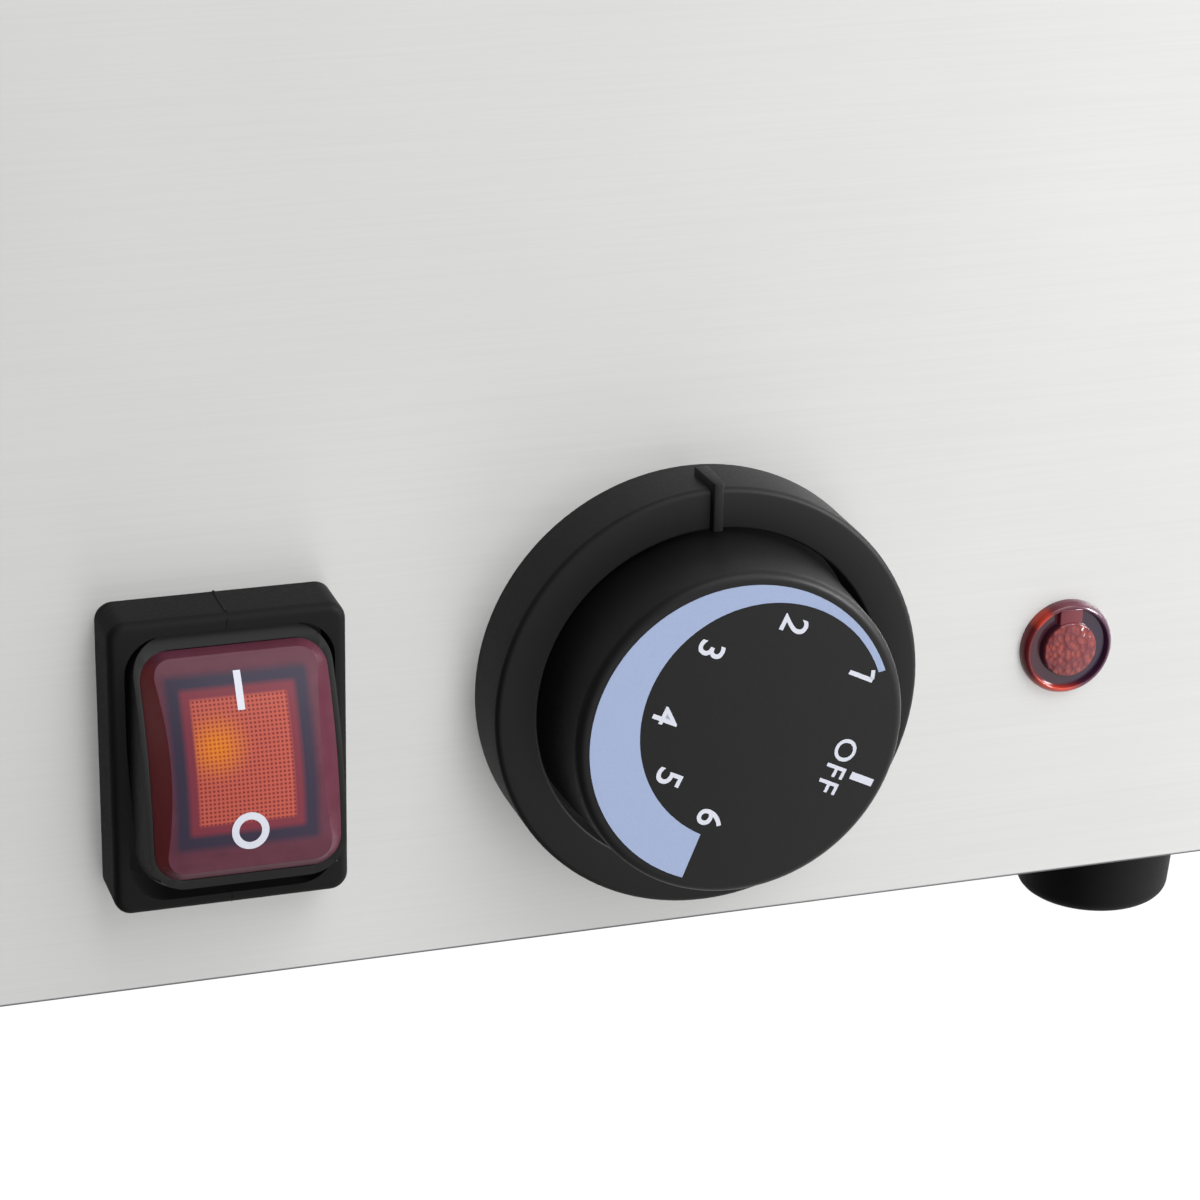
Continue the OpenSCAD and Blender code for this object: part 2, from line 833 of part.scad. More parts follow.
// Vaulted translucent cap in the rocker frame.
module switch_lens() {
    color([0.75, 0.12, 0.10])
        on_pivot()
            translate([0, 0, rocker_rise + 1])
                difference() {
                    intersection() {
                        linear_extrude(lens_h)
                            rounded(lens_w, lens_l, lens_r);
                        translate([0, 0, lens_h - lens_big_r])
                            rotate([0, 90, 0])
                                cylinder(r = lens_big_r, h = 2 * lens_w, center = true, $fn = 128);
                        rotate([90, 0, 0])
                            linear_extrude(2 * lens_l, center = true)
                                polygon([
                                    [-lens_w / 2, -1], [lens_w / 2, -1], [lens_w / 2, collar_h - 1],
                                    [lens_w / 2 - lens_lean, lens_h], [lens_lean - lens_w / 2, lens_h],
                                    [-lens_w / 2, collar_h - 1]
                                ]);
                    }
                    translate([0, 0, -1])
                        linear_extrude(3)
                            rounded(lens_w - 4, lens_l - 5, 2);
                }
}

module switch_diffuser() {
    color([1.0, 0.45, 0.15])
        on_pivot()
            translate([0, 0, rocker_rise + 1])
                linear_extrude(1.8)
                    rounded(lens_w - 4 - 2 * fit, lens_l - 5 - 2 * fit, 2);
}

module switch_tabs() {
    color([0.85, 0.70, 0.35])
        on_panel(switch_x, z_low + switch_z)
            for (sx = [-1, 1])
                for (sy = [-1, 1])
                    translate([sx * 5.5, sy * 7, -housing_d - 4])
                        cube([6.3, 0.8, 8], center = true);
}

// Lamp head: round rim, groove and raised centre.
module lamp_lens() {
    color([0.80, 0.10, 0.08])
        on_panel(lamp_x, z_low + lamp_z)
            rotate_extrude()
                polygon([[0, 0], [lamp_r, 0], [lamp_r, 0.5 * lamp_h], [lamp_r - 0.5, 0.85 * lamp_h],
                    [lamp_r - 1.2, lamp_h], [lamp_r - 1.9, lamp_h], [lamp_r - 2.5, 0.6 * lamp_h],
                    [lamp_r - 2.9, 0.6 * lamp_h], [lamp_r - 3.2, 0.95 * lamp_h], [0, 1.1 * lamp_h]]);
}

module lamp_body() {
    color([0.20, 0.20, 0.21])
        on_panel(lamp_x, z_low + lamp_z)
            translate([0, 0, -lamp_l])
                cylinder(r = lamp_barrel_r, h = lamp_l);
}

module lamp_nut() {
    color(dark)
        on_panel(lamp_x, z_low + lamp_z)
            translate([0, 0, -sheet_t - 4])
                difference() {
                    hexagon(lamp_barrel_r + 4, 4);
                    translate([0, 0, -1])
                        cylinder(r = lamp_barrel_r + run_gap, h = 6);
                }
}

// Tubular heater in four runs over the well floor, both ends through the front wall.
module heating_element() {
    color([0.55, 0.53, 0.50]) {
        for (s = [-1, 1]) {
            translate([s * element_x, element_end, element_z])
                rotate([-90, 0, 0])
                    cylinder(r = tube_r, h = element_rear - element_end);
            translate([s * tube_pitch / 2, element_front, element_z])
                rotate([-90, 0, 0])
                    cylinder(r = tube_r, h = element_rear - element_front);
            translate([s * tube_pitch, element_rear, element_z])
                rotate_extrude(angle = 180)
                    translate([tube_pitch / 2, 0])
                        circle(tube_r);
            translate([s * element_x, element_end - 8, element_z])
                rotate([-90, 0, 0])
                    cylinder(r = 1.75, h = 10);
        }
        translate([0, element_front, element_z])
            rotate([0, 0, 180])
                rotate_extrude(angle = 180)
                    translate([tube_pitch / 2, 0])
                        circle(tube_r);
    }
}

module at_glands() {
    for (s = [-1, 1])
        translate([s * element_x, y_wall, element_z])
            rotate([90, 0, 0])
                children();
}

module element_glands() {
    color([0.80, 0.66, 0.34])
        at_glands()
            difference() {
                union() {
                    translate([0, 0, -sheet_t - seal_t - collar_t2])
                        cylinder(r = tube_collar_r, h = collar_t2);
                    translate([0, 0, -sheet_t - seal_t - 0.5])
                        cylinder(r = tube_neck_r, h = sheet_t + seal_t + 9.5);
                }
                cylinder(r = tube_r + run_gap, h = 60, center = true);
            }
}

module element_seals() {
    color([0.60, 0.18, 0.14])
        at_glands()
            translate([0, 0, -sheet_t - seal_t])
                difference() {
                    cylinder(r = tube_collar_r, h = seal_t);
                    cylinder(r = tube_neck_r + run_gap, h = 20, center = true);
                }
}

module element_nuts() {
    color([0.80, 0.66, 0.34])
        at_glands()
            difference() {
                hexagon(tube_collar_r + 1, 5);
                cylinder(r = tube_neck_r + run_gap, h = 20, center = true);
            }
}

// Two notched strips that carry the heater runs.
module element_supports() {
    color(steel)
        for (k = [0.3, 0.75])
            translate([0, y_wall + sheet_t + k * well_l, z_floor])
                difference() {
                    translate([-element_x - 10, -1, 0])
                        cube([2 * element_x + 20, 2, tube_z]);
                    for (x = [-1.5, -0.5, 0.5, 1.5])
                        translate([x * tube_pitch, 0, tube_z])
                            rotate([90, 0, 0])
                                cylinder(r = tube_r + run_gap, h = 10, center = true);
                }
}

// Button-shaped cut-out on the well wall.
module thermal_cutout() {
    color([0.85, 0.83, 0.78])
        translate([-30, y_wall, bulb_z + 30])
            rotate([90, 0, 0]) {
                translate([-14, -5, 0])
                    cube([28, 10, 1]);
                cylinder(r = 8, h = 11);
                for (s = [-1, 1])
                    translate([4 * s, 0, 13])
                        cube([0.8, 6.3, 7], center = true);
            }
}

// Mains terminal block on the base sheet near the cord entry.
module terminal_block() {
    color([0.90, 0.89, 0.84])
        translate([gland_x - 16, y_rear - 90, z_low])
            difference() {
                cube([32, 18, 15]);
                for (k = [0:1:2])
                    translate([6 + 10 * k, 9, 7]) {
                        cylinder(r = 2, h = 20);
                        rotate([90, 0, 0])
                            cylinder(r = 2, h = 40, center = true);
                    }
            }
}

// Cord gland in the rear sheet.
module cord_gland() {
    color(dark)
        translate([gland_x, y_rear, z_low + gland_z])
            rotate([-90, 0, 0])
                difference() {
                    union() {
                        hexagon(gland_r + 4, 5);
                        translate([0, 0, 4.9])
                            cylinder(r = gland_r + 1.5, h = gland_l - 9);
                        translate([0, 0, gland_l - 4.2])
                            cylinder(r1 = gland_r + 1.5, r2 = gland_r - 2, h = 4.2);
                        translate([0, 0, -12])
                            cylinder(r = gland_r, h = 12.5);
                    }
                    cylinder(r = gland_bore_r, h = 100, center = true);
                }
}

module gland_nut() {
    color(dark)
        translate([gland_x, y_rear - sheet_t - 5, z_low + gland_z])
            rotate([-90, 0, 0])
                difference() {
                    hexagon(gland_r + 4, 5);
                    cylinder(r = gland_r + run_gap, h = 30, center = true);
                }
}

// Tap frame: local z points out of the panel, local y points up.
module at_tap() {
    on_panel(tap_x, z_tap)
        children();
}

module drain_pipe() {
    color(steel)
        translate([tap_x, y_front + 6, z_tap])
            rotate([-90, 0, 0])
                difference() {
                    cylinder(r = pipe_r, h = front_bay - 6);
                    translate([0, 0, -1])
                        cylinder(r = pipe_in_r, h = front_bay);
                }
}

module tap_seal() {
    color(dark)
        at_tap()
            difference() {
                cylinder(r = tap_r + 3, h = tap_seal_t);
                cylinder(r = tap_neck_r + run_gap, h = 20, center = true);
            }
}

// Rear half of the ball tap: neck, flange, ball seat and stem boss.
module tap_body() {
    color(zinc)
        at_tap()
            difference() {
                union() {
                    translate([0, 0, -14])
                        cylinder(r = tap_neck_r, h = 14 + tap_seal_t + 1);
                    translate([0, 0, tap_seal_t])
                        cylinder(r = tap_r + 3, h = 3);
                    translate([0, 0, tap_seal_t])
                        cylinder(r = tap_r, h = tap_split - tap_seal_t);
                    translate([0, 0, tap_ball_y])
                        rotate([-90, 0, 0])
                            cylinder(r = 6.4, h = tap_r + 3.4);
                }
                translate([0, 0, -20])
                    cylinder(r = pipe_r + run_gap, h = 14.5);
                translate([0, 0, -6])
                    cylinder(r = way_r, h = 60);
                translate([0, 0, tap_ball_y])
                    sphere(r = ball_r + run_gap);
                translate([0, 0, tap_ball_y + 1])
                    cylinder(r = spigot_r, h = 40);
                translate([0, 0, tap_ball_y])
                    rotate([-90, 0, 0])
                        cylinder(r = stem_r + run_gap, h = 40);
            }
}

// Front half of the tap: screwed spigot, seat and downward spout.
module tap_spout() {
    color(zinc)
        at_tap()
            difference() {
                union() {
                    translate([0, 0, tap_ball_y + 4])
                        cylinder(r = spigot_r - run_gap, h = 8);
                    translate([0, 0, tap_split])
                        cylinder(r = tap_r, h = spout_y - tap_split);
                    translate([0, 0, tap_split])
                        hexagon(tap_r + 1.4, 4);
                    translate([0, 0, spout_y])
                        sphere(r = spout_r);
                    translate([0, 0, spout_y])
                        rotate([90, 0, 0])
                            cylinder(r = spout_r, h = spout_drop);
                }
                translate([0, 0, tap_ball_y])
                    sphere(r = ball_r + run_gap);
                cylinder(r = way_r, h = spout_y);
                translate([0, 0, spout_y])
                    sphere(r = way_r);
                translate([0, 0, spout_y])
                    rotate([90, 0, 0])
                        cylinder(r = way_r, h = 60);
            }
}

module tap_nut() {
    color(zinc)
        at_tap()
            translate([0, 0, -sheet_t - 5])
                difference() {
                    hexagon(tap_neck_r + 4, 5);
                    cylinder(r = tap_neck_r + run_gap, h = 30, center = true);
                }
}

// Ball and stem in one; drawn closed, with the water way across the tap.
module tap_stem() {
    color(steel)
        at_tap()
            translate([0, 0, tap_ball_y])
                difference() {
                    rotate([-90, 0, 0])
                        rotate_extrude()
                            union() {
                                intersection() {
                                    circle(ball_r);
                                    translate([0, -2 * ball_r])
                                        square([2 * ball_r, 4 * ball_r]);
                                }
                                square([stem_r, lever_z + lever_t + 5]);
                            }
                    rotate([0, 90, 0])
                        cylinder(r = way_r, h = 40, center = true);
                }
}

module tap_lever() {
    color([0.70, 0.10, 0.10])
        at_tap()
            translate([0, lever_z, tap_ball_y])
                rotate([-90, 0, 0])
                    difference() {
                        union() {
                            cylinder(r = 0.7 * lever_w, h = lever_t);
                            translate([-lever_l + lever_w / 2, -lever_w / 2, 0])
                                cube([lever_l - lever_w / 2, lever_w, lever_t]);
                            translate([-lever_l + lever_w / 2, 0, 0])
                                cylinder(r = lever_w / 2, h = lever_t);
                        }
                        translate([0, 0, -1])
                            cylinder(r = stem_r + run_gap, h = 20);
                    }
}

module lever_nut() {
    color(zinc)
        at_tap()
            translate([0, lever_z + lever_t, tap_ball_y])
                rotate([-90, 0, 0])
                    difference() {
                        hexagon(5.6, 4);
                        cylinder(r = stem_r + run_gap, h = 20, center = true);
                    }
}

module pan_form(grow) {
    hull() {
        translate([0, 0, -0.05])
            linear_extrude(0.1 + 4 * grow)
                rounded(pan_w - 2 * grow, pan_l - 2 * grow, pan_r - grow);
        for (sx = [-1, 1])
            for (sy = [-1, 1])
                translate([sx * (pan_w / 2 - pan_draft - pan_edge_r),
                    sy * (pan_l / 2 - pan_draft - pan_edge_r), pan_edge_r - pan_depth])
                    sphere(r = pan_edge_r - grow, $fn = 40);
    }
}

// Full-size food pan, drawn hanging by its flange on the deck.
module food_pan() {
    color(steel)
        translate([0, well_y, z_pan])
            difference() {
                union() {
                    pan_form(0);
                    linear_extrude(pan_t)
                        rounded(pan_out_w, pan_out_l, 14);
                }
                pan_form(pan_t);
            }
}

// One lid leaf seen from above: hinge line at y = 0, free end with round corners at y < 0.
module leaf_plan(w, l, r, gap) {
    translate([0, -l])
        front_round(w, l - gap, r);
}

module leaf_field(grow) {
    low_w = lid_w - 2 * lid_rim - 2 * grow;
    low_l = lid_l / 2 - lid_rim - grow;
    hull() {
        translate([0, 0, -4 * grow])
            linear_extrude(0.01 + 4 * grow)
                leaf_plan(low_w, low_l, 26 - grow, hinge_gap);
        translate([0, 0, lid_rise - grow - 0.01])
            linear_extrude(0.01)
                leaf_plan(low_w - 2 * lid_slope, low_l - lid_slope, 26 - grow, hinge_gap);
    }
}

module leaf(first) {
    difference() {
        union() {
            linear_extrude(lid_t)
                leaf_plan(lid_w, lid_l / 2, 14, fold_gap);
            leaf_field(0);
        }
        difference() {
            leaf_field(lid_t);
            translate([0, -hinge_gap, lid_rise / 2 - 2 * lid_t])
                cube([lid_w, 2 * lid_t, 2 * lid_rise], center = true);
        }
        for (s = [-1, 1])
            translate([s * handle_span / 2, -handle_y, 0])
                cylinder(r = 2.2, h = 60);
    }
    for (k = [first:2:knuckles - 1])
        translate([(k - knuckles / 2) * knuckle_l + 0.25, 0, lid_rise + 0.5])
            difference() {
                union() {
                    rotate([0, 90, 0])
                        cylinder(r = knuckle_r, h = knuckle_l - 0.5);
                    translate([0, -hinge_gap - 6, -0.5 - lid_t])
                        cube([knuckle_l - 0.5, 3.6 + 6, lid_t]);
                }
                translate([-1, 0, 0])
                    rotate([0, 90, 0])
                        cylinder(r = pin_r + run_gap, h = knuckle_l + 2);
            }
}

// Rear leaf: stays on the pan while the front leaf folds over.
module lid_rear() {
    color(steel)
        translate([0, well_y, z_rim])
            mirror([0, 1, 0])
                leaf(0);
}

module lid_front() {
    color(steel)
        translate([0, well_y, z_rim])
            leaf(1);
}

module hinge_pin() {
    span = knuckles * knuckle_l;
    color(zinc)
        translate([0, well_y, z_hinge])
            rotate([0, 90, 0]) {
                cylinder(r = pin_r, h = span + 2, center = true);
                for (s = [-1, 1])
                    translate([0, 0, s * (span / 2 + 0.9)])
                        cylinder(r = pin_r + 0.8, h = 1.2, center = true);
            }
}

// Bent rod handle with two round feet.
module bow() {
    leg = handle_h - handle_bend;
    for (s = [-1, 1]) {
        translate([s * handle_span / 2, 0, 0])
            difference() {
                union() {
                    cylinder(r = handle_r, h = leg);
                    cylinder(r = 2 * handle_r, h = 2);
                }
                translate([0, 0, -1])
                    cylinder(r = 2 + run_gap, h = 12);
            }
        translate([s * (handle_span / 2 - handle_bend), 0, leg])
            rotate([90, 0, 0])
                rotate([0, 0, s > 0 ? 0 : 90])
                    rotate_extrude(angle = 90)
                        translate([handle_bend, 0])
                            circle(handle_r);
    }
    translate([0, 0, handle_h])
        rotate([0, 90, 0])
            cylinder(r = handle_r, h = handle_span - 2 * handle_bend, center = true);
}

module handle_front() {
    color(steel)
        translate([0, well_y - handle_y, z_lid])
            bow();
}

module handle_rear() {
    color(steel)
        translate([0, well_y + handle_y, z_lid])
            bow();
}

module bow_screws() {
    for (s = [-1, 1])
        translate([s * handle_span / 2, 0, -lid_t]) {
            translate([0, 0, -1.8])
                cylinder(r = 4, h = 1.8);
            translate([0, 0, -0.1])
                cylinder(r = 2, h = 9);
        }
}

module screws_front() {
    color(zinc)
        translate([0, well_y - handle_y, z_lid])
            bow_screws();
}

module screws_rear() {
    color(zinc)
        translate([0, well_y + handle_y, z_lid])
            bow_screws();
}

outer_casing();
rear_panel();
base_plate();
top_deck();
water_tank();
rear_screws();
base_screws();
foot_fl();
foot_fr();
foot_rl();
foot_rr();
foot_screws();
foot_nuts();
dial_ring();
knob();
thermostat_shaft();
thermostat_body();
thermostat_screws();
thermostat_tabs();
capillary_bulb();
bulb_clips();
switch_boot();
switch_housing();
rocker_pin();
switch_rocker();
switch_lens();
switch_diffuser();
switch_tabs();
lamp_lens();
lamp_body();
lamp_nut();
heating_element();
element_glands();
element_seals();
element_nuts();
element_supports();
thermal_cutout();
terminal_block();
cord_gland();
gland_nut();
drain_pipe();
tap_seal();
tap_body();
tap_spout();
tap_nut();
tap_stem();
tap_lever();
lever_nut();
food_pan();
lid_rear();
lid_front();
hinge_pin();
handle_front();
handle_rear();
screws_front();
screws_rear();
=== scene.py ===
# %% [markdown]
# # Dressing an electric bain-marie
# A bain-marie keeps food warm in a pan that hangs in hot water. The machine is a folded steel box with
# a row of controls on its narrow front: a lit rocker switch, a thermostat dial and a red lamp. The CAD
# frame already has every piece at its real size, so this lesson gives the surfaces their finish and
# remakes the moulded controls with the soft edges that moulded parts have.

import json
import math

import bmesh
import bpy
from mathutils import Matrix, Vector


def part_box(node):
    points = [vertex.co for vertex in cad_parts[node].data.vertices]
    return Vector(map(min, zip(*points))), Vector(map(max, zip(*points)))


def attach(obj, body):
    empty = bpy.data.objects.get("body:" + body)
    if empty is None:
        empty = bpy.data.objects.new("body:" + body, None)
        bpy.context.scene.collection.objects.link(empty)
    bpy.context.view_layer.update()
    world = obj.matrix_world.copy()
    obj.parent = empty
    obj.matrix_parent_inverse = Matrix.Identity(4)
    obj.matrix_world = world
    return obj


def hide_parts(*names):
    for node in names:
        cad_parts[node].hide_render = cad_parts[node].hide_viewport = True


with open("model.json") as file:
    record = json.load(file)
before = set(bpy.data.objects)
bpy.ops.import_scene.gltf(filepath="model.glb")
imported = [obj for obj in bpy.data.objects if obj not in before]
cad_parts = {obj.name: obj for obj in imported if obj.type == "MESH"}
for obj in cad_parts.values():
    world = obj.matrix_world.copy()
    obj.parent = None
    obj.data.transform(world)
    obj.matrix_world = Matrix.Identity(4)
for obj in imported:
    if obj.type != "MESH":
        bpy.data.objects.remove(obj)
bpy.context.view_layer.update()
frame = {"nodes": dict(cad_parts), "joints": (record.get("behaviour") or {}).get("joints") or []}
scene = bpy.context.scene
nodes = frame["nodes"]
MM = 0.001
joint_at = {j["name"]: Vector(j["pos_m"]) for j in frame["joints"] if "pos_m" in j}
PANEL_Y = joint_at["knob_turn"].y
print("frame loaded:", len(nodes), "nodes, panel at y =", round(PANEL_Y, 5))

# %% [markdown]
# ## The camera
# The picture is taken from the left of the panel and a little above it, close to the controls. The place
# was worked out from the round ring, the panel's lower edge and the spacing of the controls. The frame
# is square and a long lens keeps the box from spreading.

# %% Camera
EYE = Vector((-0.0986, -0.7380, 0.2530))
LOOK = Vector((0.29362, 0.88382, -0.36532)).normalized()
UP_HINT = Vector((0.10367, 0.36748, 0.92423))
LENS_MM, SENSOR_MM = 115.6, 36.0
right = LOOK.cross(UP_HINT).normalized()
upward = right.cross(LOOK)
camera_data = bpy.data.cameras.new("panel_camera")
camera_data.sensor_width = SENSOR_MM
camera_data.lens = LENS_MM
camera_data.clip_start = 10 * MM
camera = bpy.data.objects.new("panel_camera", camera_data)
camera.matrix_world = Matrix.Translation(EYE) @ Matrix((right, upward, -LOOK)).transposed().to_4x4()
scene.collection.objects.link(camera)
scene.camera = camera
print("camera", tuple(round(v, 3) for v in EYE), "lens", camera_data.lens)

# %% [markdown]
# ## Helpers for finishes
# Colours are easiest to read as the sRGB hex values that a picture program shows, but Blender mixes
# light in linear values, so one function converts them. A second function adds a node, sets it and
# links it, so that every finish reads as a short list of nodes. Some nodes keep their sockets by number:
# in a Mix node 4 and 5 are the two vectors and 6 and 7 the two colours, with 0 as the share of the second,
# and a Map Range node turns its value 0 from the range 1 to 2 into the range 3 to 4.

# %% Finish helpers
def linear(hex_code):
    """Turns an sRGB hex colour into linear RGBA."""
    parts = [int(hex_code[i : i + 2], 16) / 255 for i in (1, 3, 5)]
    return tuple(p / 12.92 if p <= 0.04045 else ((p + 0.055) / 1.055) ** 2.4 for p in parts) + (1.0,)


def add_node(tree, kind, settings=None, inputs=None):
    """Adds a node with its settings; an input is a value or another node's socket."""
    node = tree.nodes.new(kind)
    for key, value in (settings or {}).items():
        setattr(node, key, value)
    for key, value in (inputs or {}).items():
        if isinstance(value, bpy.types.NodeSocket):
            tree.links.new(value, node.inputs[key])
        else:
            node.inputs[key].default_value = value
    return node


def empty_material(name):
    """A new material with an empty node tree."""
    material = bpy.data.materials.new(name)
    material.use_nodes = True
    material.node_tree.nodes.clear()
    return material, material.node_tree


# %% [markdown]
# ## Brushed stainless steel
# The casing is cold-rolled stainless sheet, brushed along its length. Brushing leaves hair-fine scratches
# that run one way, so the steel shows streaks and its reflections smear. A noise stretched 90 to 1 makes
# the streaks: 0.35 mm wide, which is coarser than the real 0.05 mm grit so that it shows in the picture.
# The sides are brushed front to back, so a second noise runs that way where the surface faces sideways.
# Scratches smear a reflection across themselves, so the shader is anisotropic, stretched up and down on
# the walls and front to back on the deck. The panel hardly mirrors the black controls, so it is set half
# metallic, which mixes the smeared mirror with an even grey. A thin darker line along the sheet's lower
# edge is painted shade, standing for the bent edge mirroring the shadow under the machine.

# %% Brushed stainless
STREAK_W, STREAK_L = 0.35 * MM, 32 * MM
CLOUD_W, CLOUD_SHARE = 71.4 * MM, 0.12
SCRATCH_DEEP = 0.04 * MM
NOISE_LOW, NOISE_HIGH = 0.3, 0.7
FACES_THAT_WAY = 0.6
SHEET_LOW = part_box("outer_casing")[0].z
# The band of painted shade along the sheet's lower edge.
EDGE_SHADE_FULL, EDGE_SHADE_GONE = SHEET_LOW + 0.14 * MM, SHEET_LOW + 0.32 * MM
brushed_stainless, tree = empty_material("brushed_stainless")
place = add_node(tree, "ShaderNodeTexCoord")
facing = add_node(tree, "ShaderNodeNewGeometry")
facing_xyz = add_node(tree, "ShaderNodeSeparateXYZ", None, {0: facing.outputs["Normal"]})
faces = {}
for way, axis in (("side", 0), ("level", 2)):
    share = add_node(tree, "ShaderNodeMath", {"operation": "ABSOLUTE"}, {0: facing_xyz.outputs[axis]})
    faces[way] = add_node(
        tree, "ShaderNodeMath", {"operation": "GREATER_THAN"}, {0: share.outputs[0], 1: FACES_THAT_WAY}
    ).outputs[0]
smear_way = add_node(
    tree, "ShaderNodeMix", {"data_type": "VECTOR"}, {0: faces["level"], 4: (0, 0, 1), 5: (0, 1, 0)}
)
along_x = add_node(
    tree, "ShaderNodeMapping", {"vector_type": "POINT"},
    {"Vector": place.outputs["Object"], "Scale": (1 / STREAK_L, 1 / STREAK_W, 1 / STREAK_W)},
)
along_y = add_node(
    tree, "ShaderNodeMapping", {"vector_type": "POINT"},
    {"Vector": place.outputs["Object"], "Scale": (1 / STREAK_W, 1 / STREAK_L, 1 / STREAK_W)},
)
grain_place = add_node(
    tree, "ShaderNodeMix", {"data_type": "VECTOR"},
    {0: faces["side"], 4: along_x.outputs[0], 5: along_y.outputs[0]},
)
streaks = add_node(
    tree, "ShaderNodeTexNoise", None,
    {"Vector": grain_place.outputs[1], "Scale": 1.0, "Detail": 4.0, "Roughness": 0.62},
)
clouds = add_node(
    tree, "ShaderNodeTexNoise", None,
    {"Vector": place.outputs["Object"], "Scale": 1 / CLOUD_W, "Detail": 2.0},
)
streaked = add_node(
    tree, "ShaderNodeMix", {"data_type": "RGBA"},
    {0: streaks.outputs[0], 6: linear("#c9c9c8"), 7: linear("#d6d6d5")},
)
clouded = add_node(
    tree, "ShaderNodeMix", {"data_type": "RGBA", "blend_type": "MULTIPLY"},
    {0: CLOUD_SHARE, 6: streaked.outputs[2], 7: clouds.outputs[0]},
)
place_xyz = add_node(tree, "ShaderNodeSeparateXYZ", None, {0: place.outputs["Object"]})
# Painted shade: a thin dark line on the sheet's lower edge, the bent edge mirroring the shade below.
painted_edge_shade = add_node(
    tree, "ShaderNodeMapRange", None,
    {0: place_xyz.outputs[2], 1: EDGE_SHADE_FULL, 2: EDGE_SHADE_GONE, 3: 1.0, 4: 0.0},
)
steel_tone = add_node(
    tree, "ShaderNodeMix", {"data_type": "RGBA"},
    {0: painted_edge_shade.outputs[0], 6: clouded.outputs[2], 7: linear("#5e5e5f")},
)
steel_rough = add_node(
    tree, "ShaderNodeMapRange", None,
    {0: streaks.outputs[0], 1: NOISE_LOW, 2: NOISE_HIGH, 3: 0.46, 4: 0.56},
)
steel_bump = add_node(
    tree, "ShaderNodeBump", None,
    {"Strength": 0.10, "Distance": SCRATCH_DEEP, "Height": streaks.outputs[0]},
)
steel = add_node(
    tree, "ShaderNodeBsdfPrincipled", None,
    {"Base Color": steel_tone.outputs[2], "Metallic": 0.5, "Roughness": steel_rough.outputs[0],
     "Normal": steel_bump.outputs[0], "Anisotropic": 0.9, "Tangent": smear_way.outputs[1]},
)
add_node(tree, "ShaderNodeOutputMaterial", None, {"Surface": steel.outputs[0]})
print("finish:", brushed_stainless.name)

# %% [markdown]
# ## Pressed and polished steel
# The pan, the lid and the well are deep drawn and only lightly polished. They reflect more sharply than
# the casing, with the faint cloudy wear of a pan that has been wiped many times: patches about 30 mm wide
# and hairline scratches in no fixed direction.

# %% Polished stainless
WIPE_W, HAIR_W, HAIR_DEEP = 30 * MM, 1.2 * MM, 0.03 * MM
polished_stainless, tree = empty_material("polished_stainless")
place = add_node(tree, "ShaderNodeTexCoord")
wiped = add_node(
    tree, "ShaderNodeTexNoise", None,
    {"Vector": place.outputs["Object"], "Scale": 1 / WIPE_W, "Detail": 3.0},
)
hairlines = add_node(
    tree, "ShaderNodeTexNoise", None,
    {"Vector": place.outputs["Object"], "Scale": 1 / HAIR_W, "Detail": 5.0, "Distortion": 1.4},
)
wipe_tone = add_node(
    tree, "ShaderNodeMix", {"data_type": "RGBA"},
    {0: wiped.outputs[0], 6: linear("#d8d9da"), 7: linear("#e2e3e4")},
)
wipe_rough = add_node(
    tree, "ShaderNodeMapRange", None,
    {0: wiped.outputs[0], 1: NOISE_LOW, 2: NOISE_HIGH, 3: 0.18, 4: 0.25},
)
hair_bump = add_node(
    tree, "ShaderNodeBump", None,
    {"Strength": 0.05, "Distance": HAIR_DEEP, "Height": hairlines.outputs[0]},
)
polish = add_node(
    tree, "ShaderNodeBsdfPrincipled", None,
    {"Base Color": wipe_tone.outputs[2], "Metallic": 1.0, "Roughness": wipe_rough.outputs[0],
     "Normal": hair_bump.outputs[0]},
)
add_node(tree, "ShaderNodeOutputMaterial", None, {"Surface": polish.outputs[0]})
print("finish:", polished_stainless.name)

# %% [markdown]
# ## Metals, plastics and rubbers that share a recipe
# Screws, brass glands, ceramic blocks and rubber feet differ in colour and gloss, but their surfaces
# are made alike: a mottle of two close colours, a roughness that follows it, and a fine bump. One
# function builds that recipe from the two colours and the size of the mottle in millimetres.

# %% Mottled finishes
DENT_DEEP = 0.05 * MM
ROUGH_SPREAD = 0.05


def mottled(name, dark_hex, light_hex, mottle_mm, rough, metal=0.0, bump=0.1, shine=0.5):
    """A finish with two close colours mixed by a noise of a real size."""
    material, tree = empty_material(name)
    place = add_node(tree, "ShaderNodeTexCoord")
    mottle = add_node(
        tree, "ShaderNodeTexNoise", None,
        {"Vector": place.outputs["Object"], "Scale": 1 / (mottle_mm * MM), "Detail": 4.0},
    )
    tone = add_node(
        tree, "ShaderNodeMix", {"data_type": "RGBA"},
        {0: mottle.outputs[0], 6: linear(dark_hex), 7: linear(light_hex)},
    )
    gloss = add_node(
        tree, "ShaderNodeMapRange", None,
        {0: mottle.outputs[0], 1: NOISE_LOW, 2: NOISE_HIGH, 3: rough - ROUGH_SPREAD, 4: rough + ROUGH_SPREAD},
    )
    dents = add_node(
        tree, "ShaderNodeBump", None,
        {"Strength": bump, "Distance": DENT_DEEP, "Height": mottle.outputs[0]},
    )
    shader = add_node(
        tree, "ShaderNodeBsdfPrincipled", None,
        {"Base Color": tone.outputs[2], "Metallic": metal, "Roughness": gloss.outputs[0],
         "Normal": dents.outputs[0], "Specular IOR Level": shine},
    )
    add_node(tree, "ShaderNodeOutputMaterial", None, {"Surface": shader.outputs[0]})
    return material


# Zinc-plated steel: bluish grey with a soft sparkle.
plated_zinc = mottled("plated_zinc", "#a9aaac", "#cfd0d1", 1.5, 0.28, metal=1.0)
# Chromed brass: the tap's mirror-like skin with slight casting ripple.
chromed_brass = mottled("chromed_brass", "#c9cacc", "#e2e3e5", 6.0, 0.12, metal=1.0, bump=0.05)
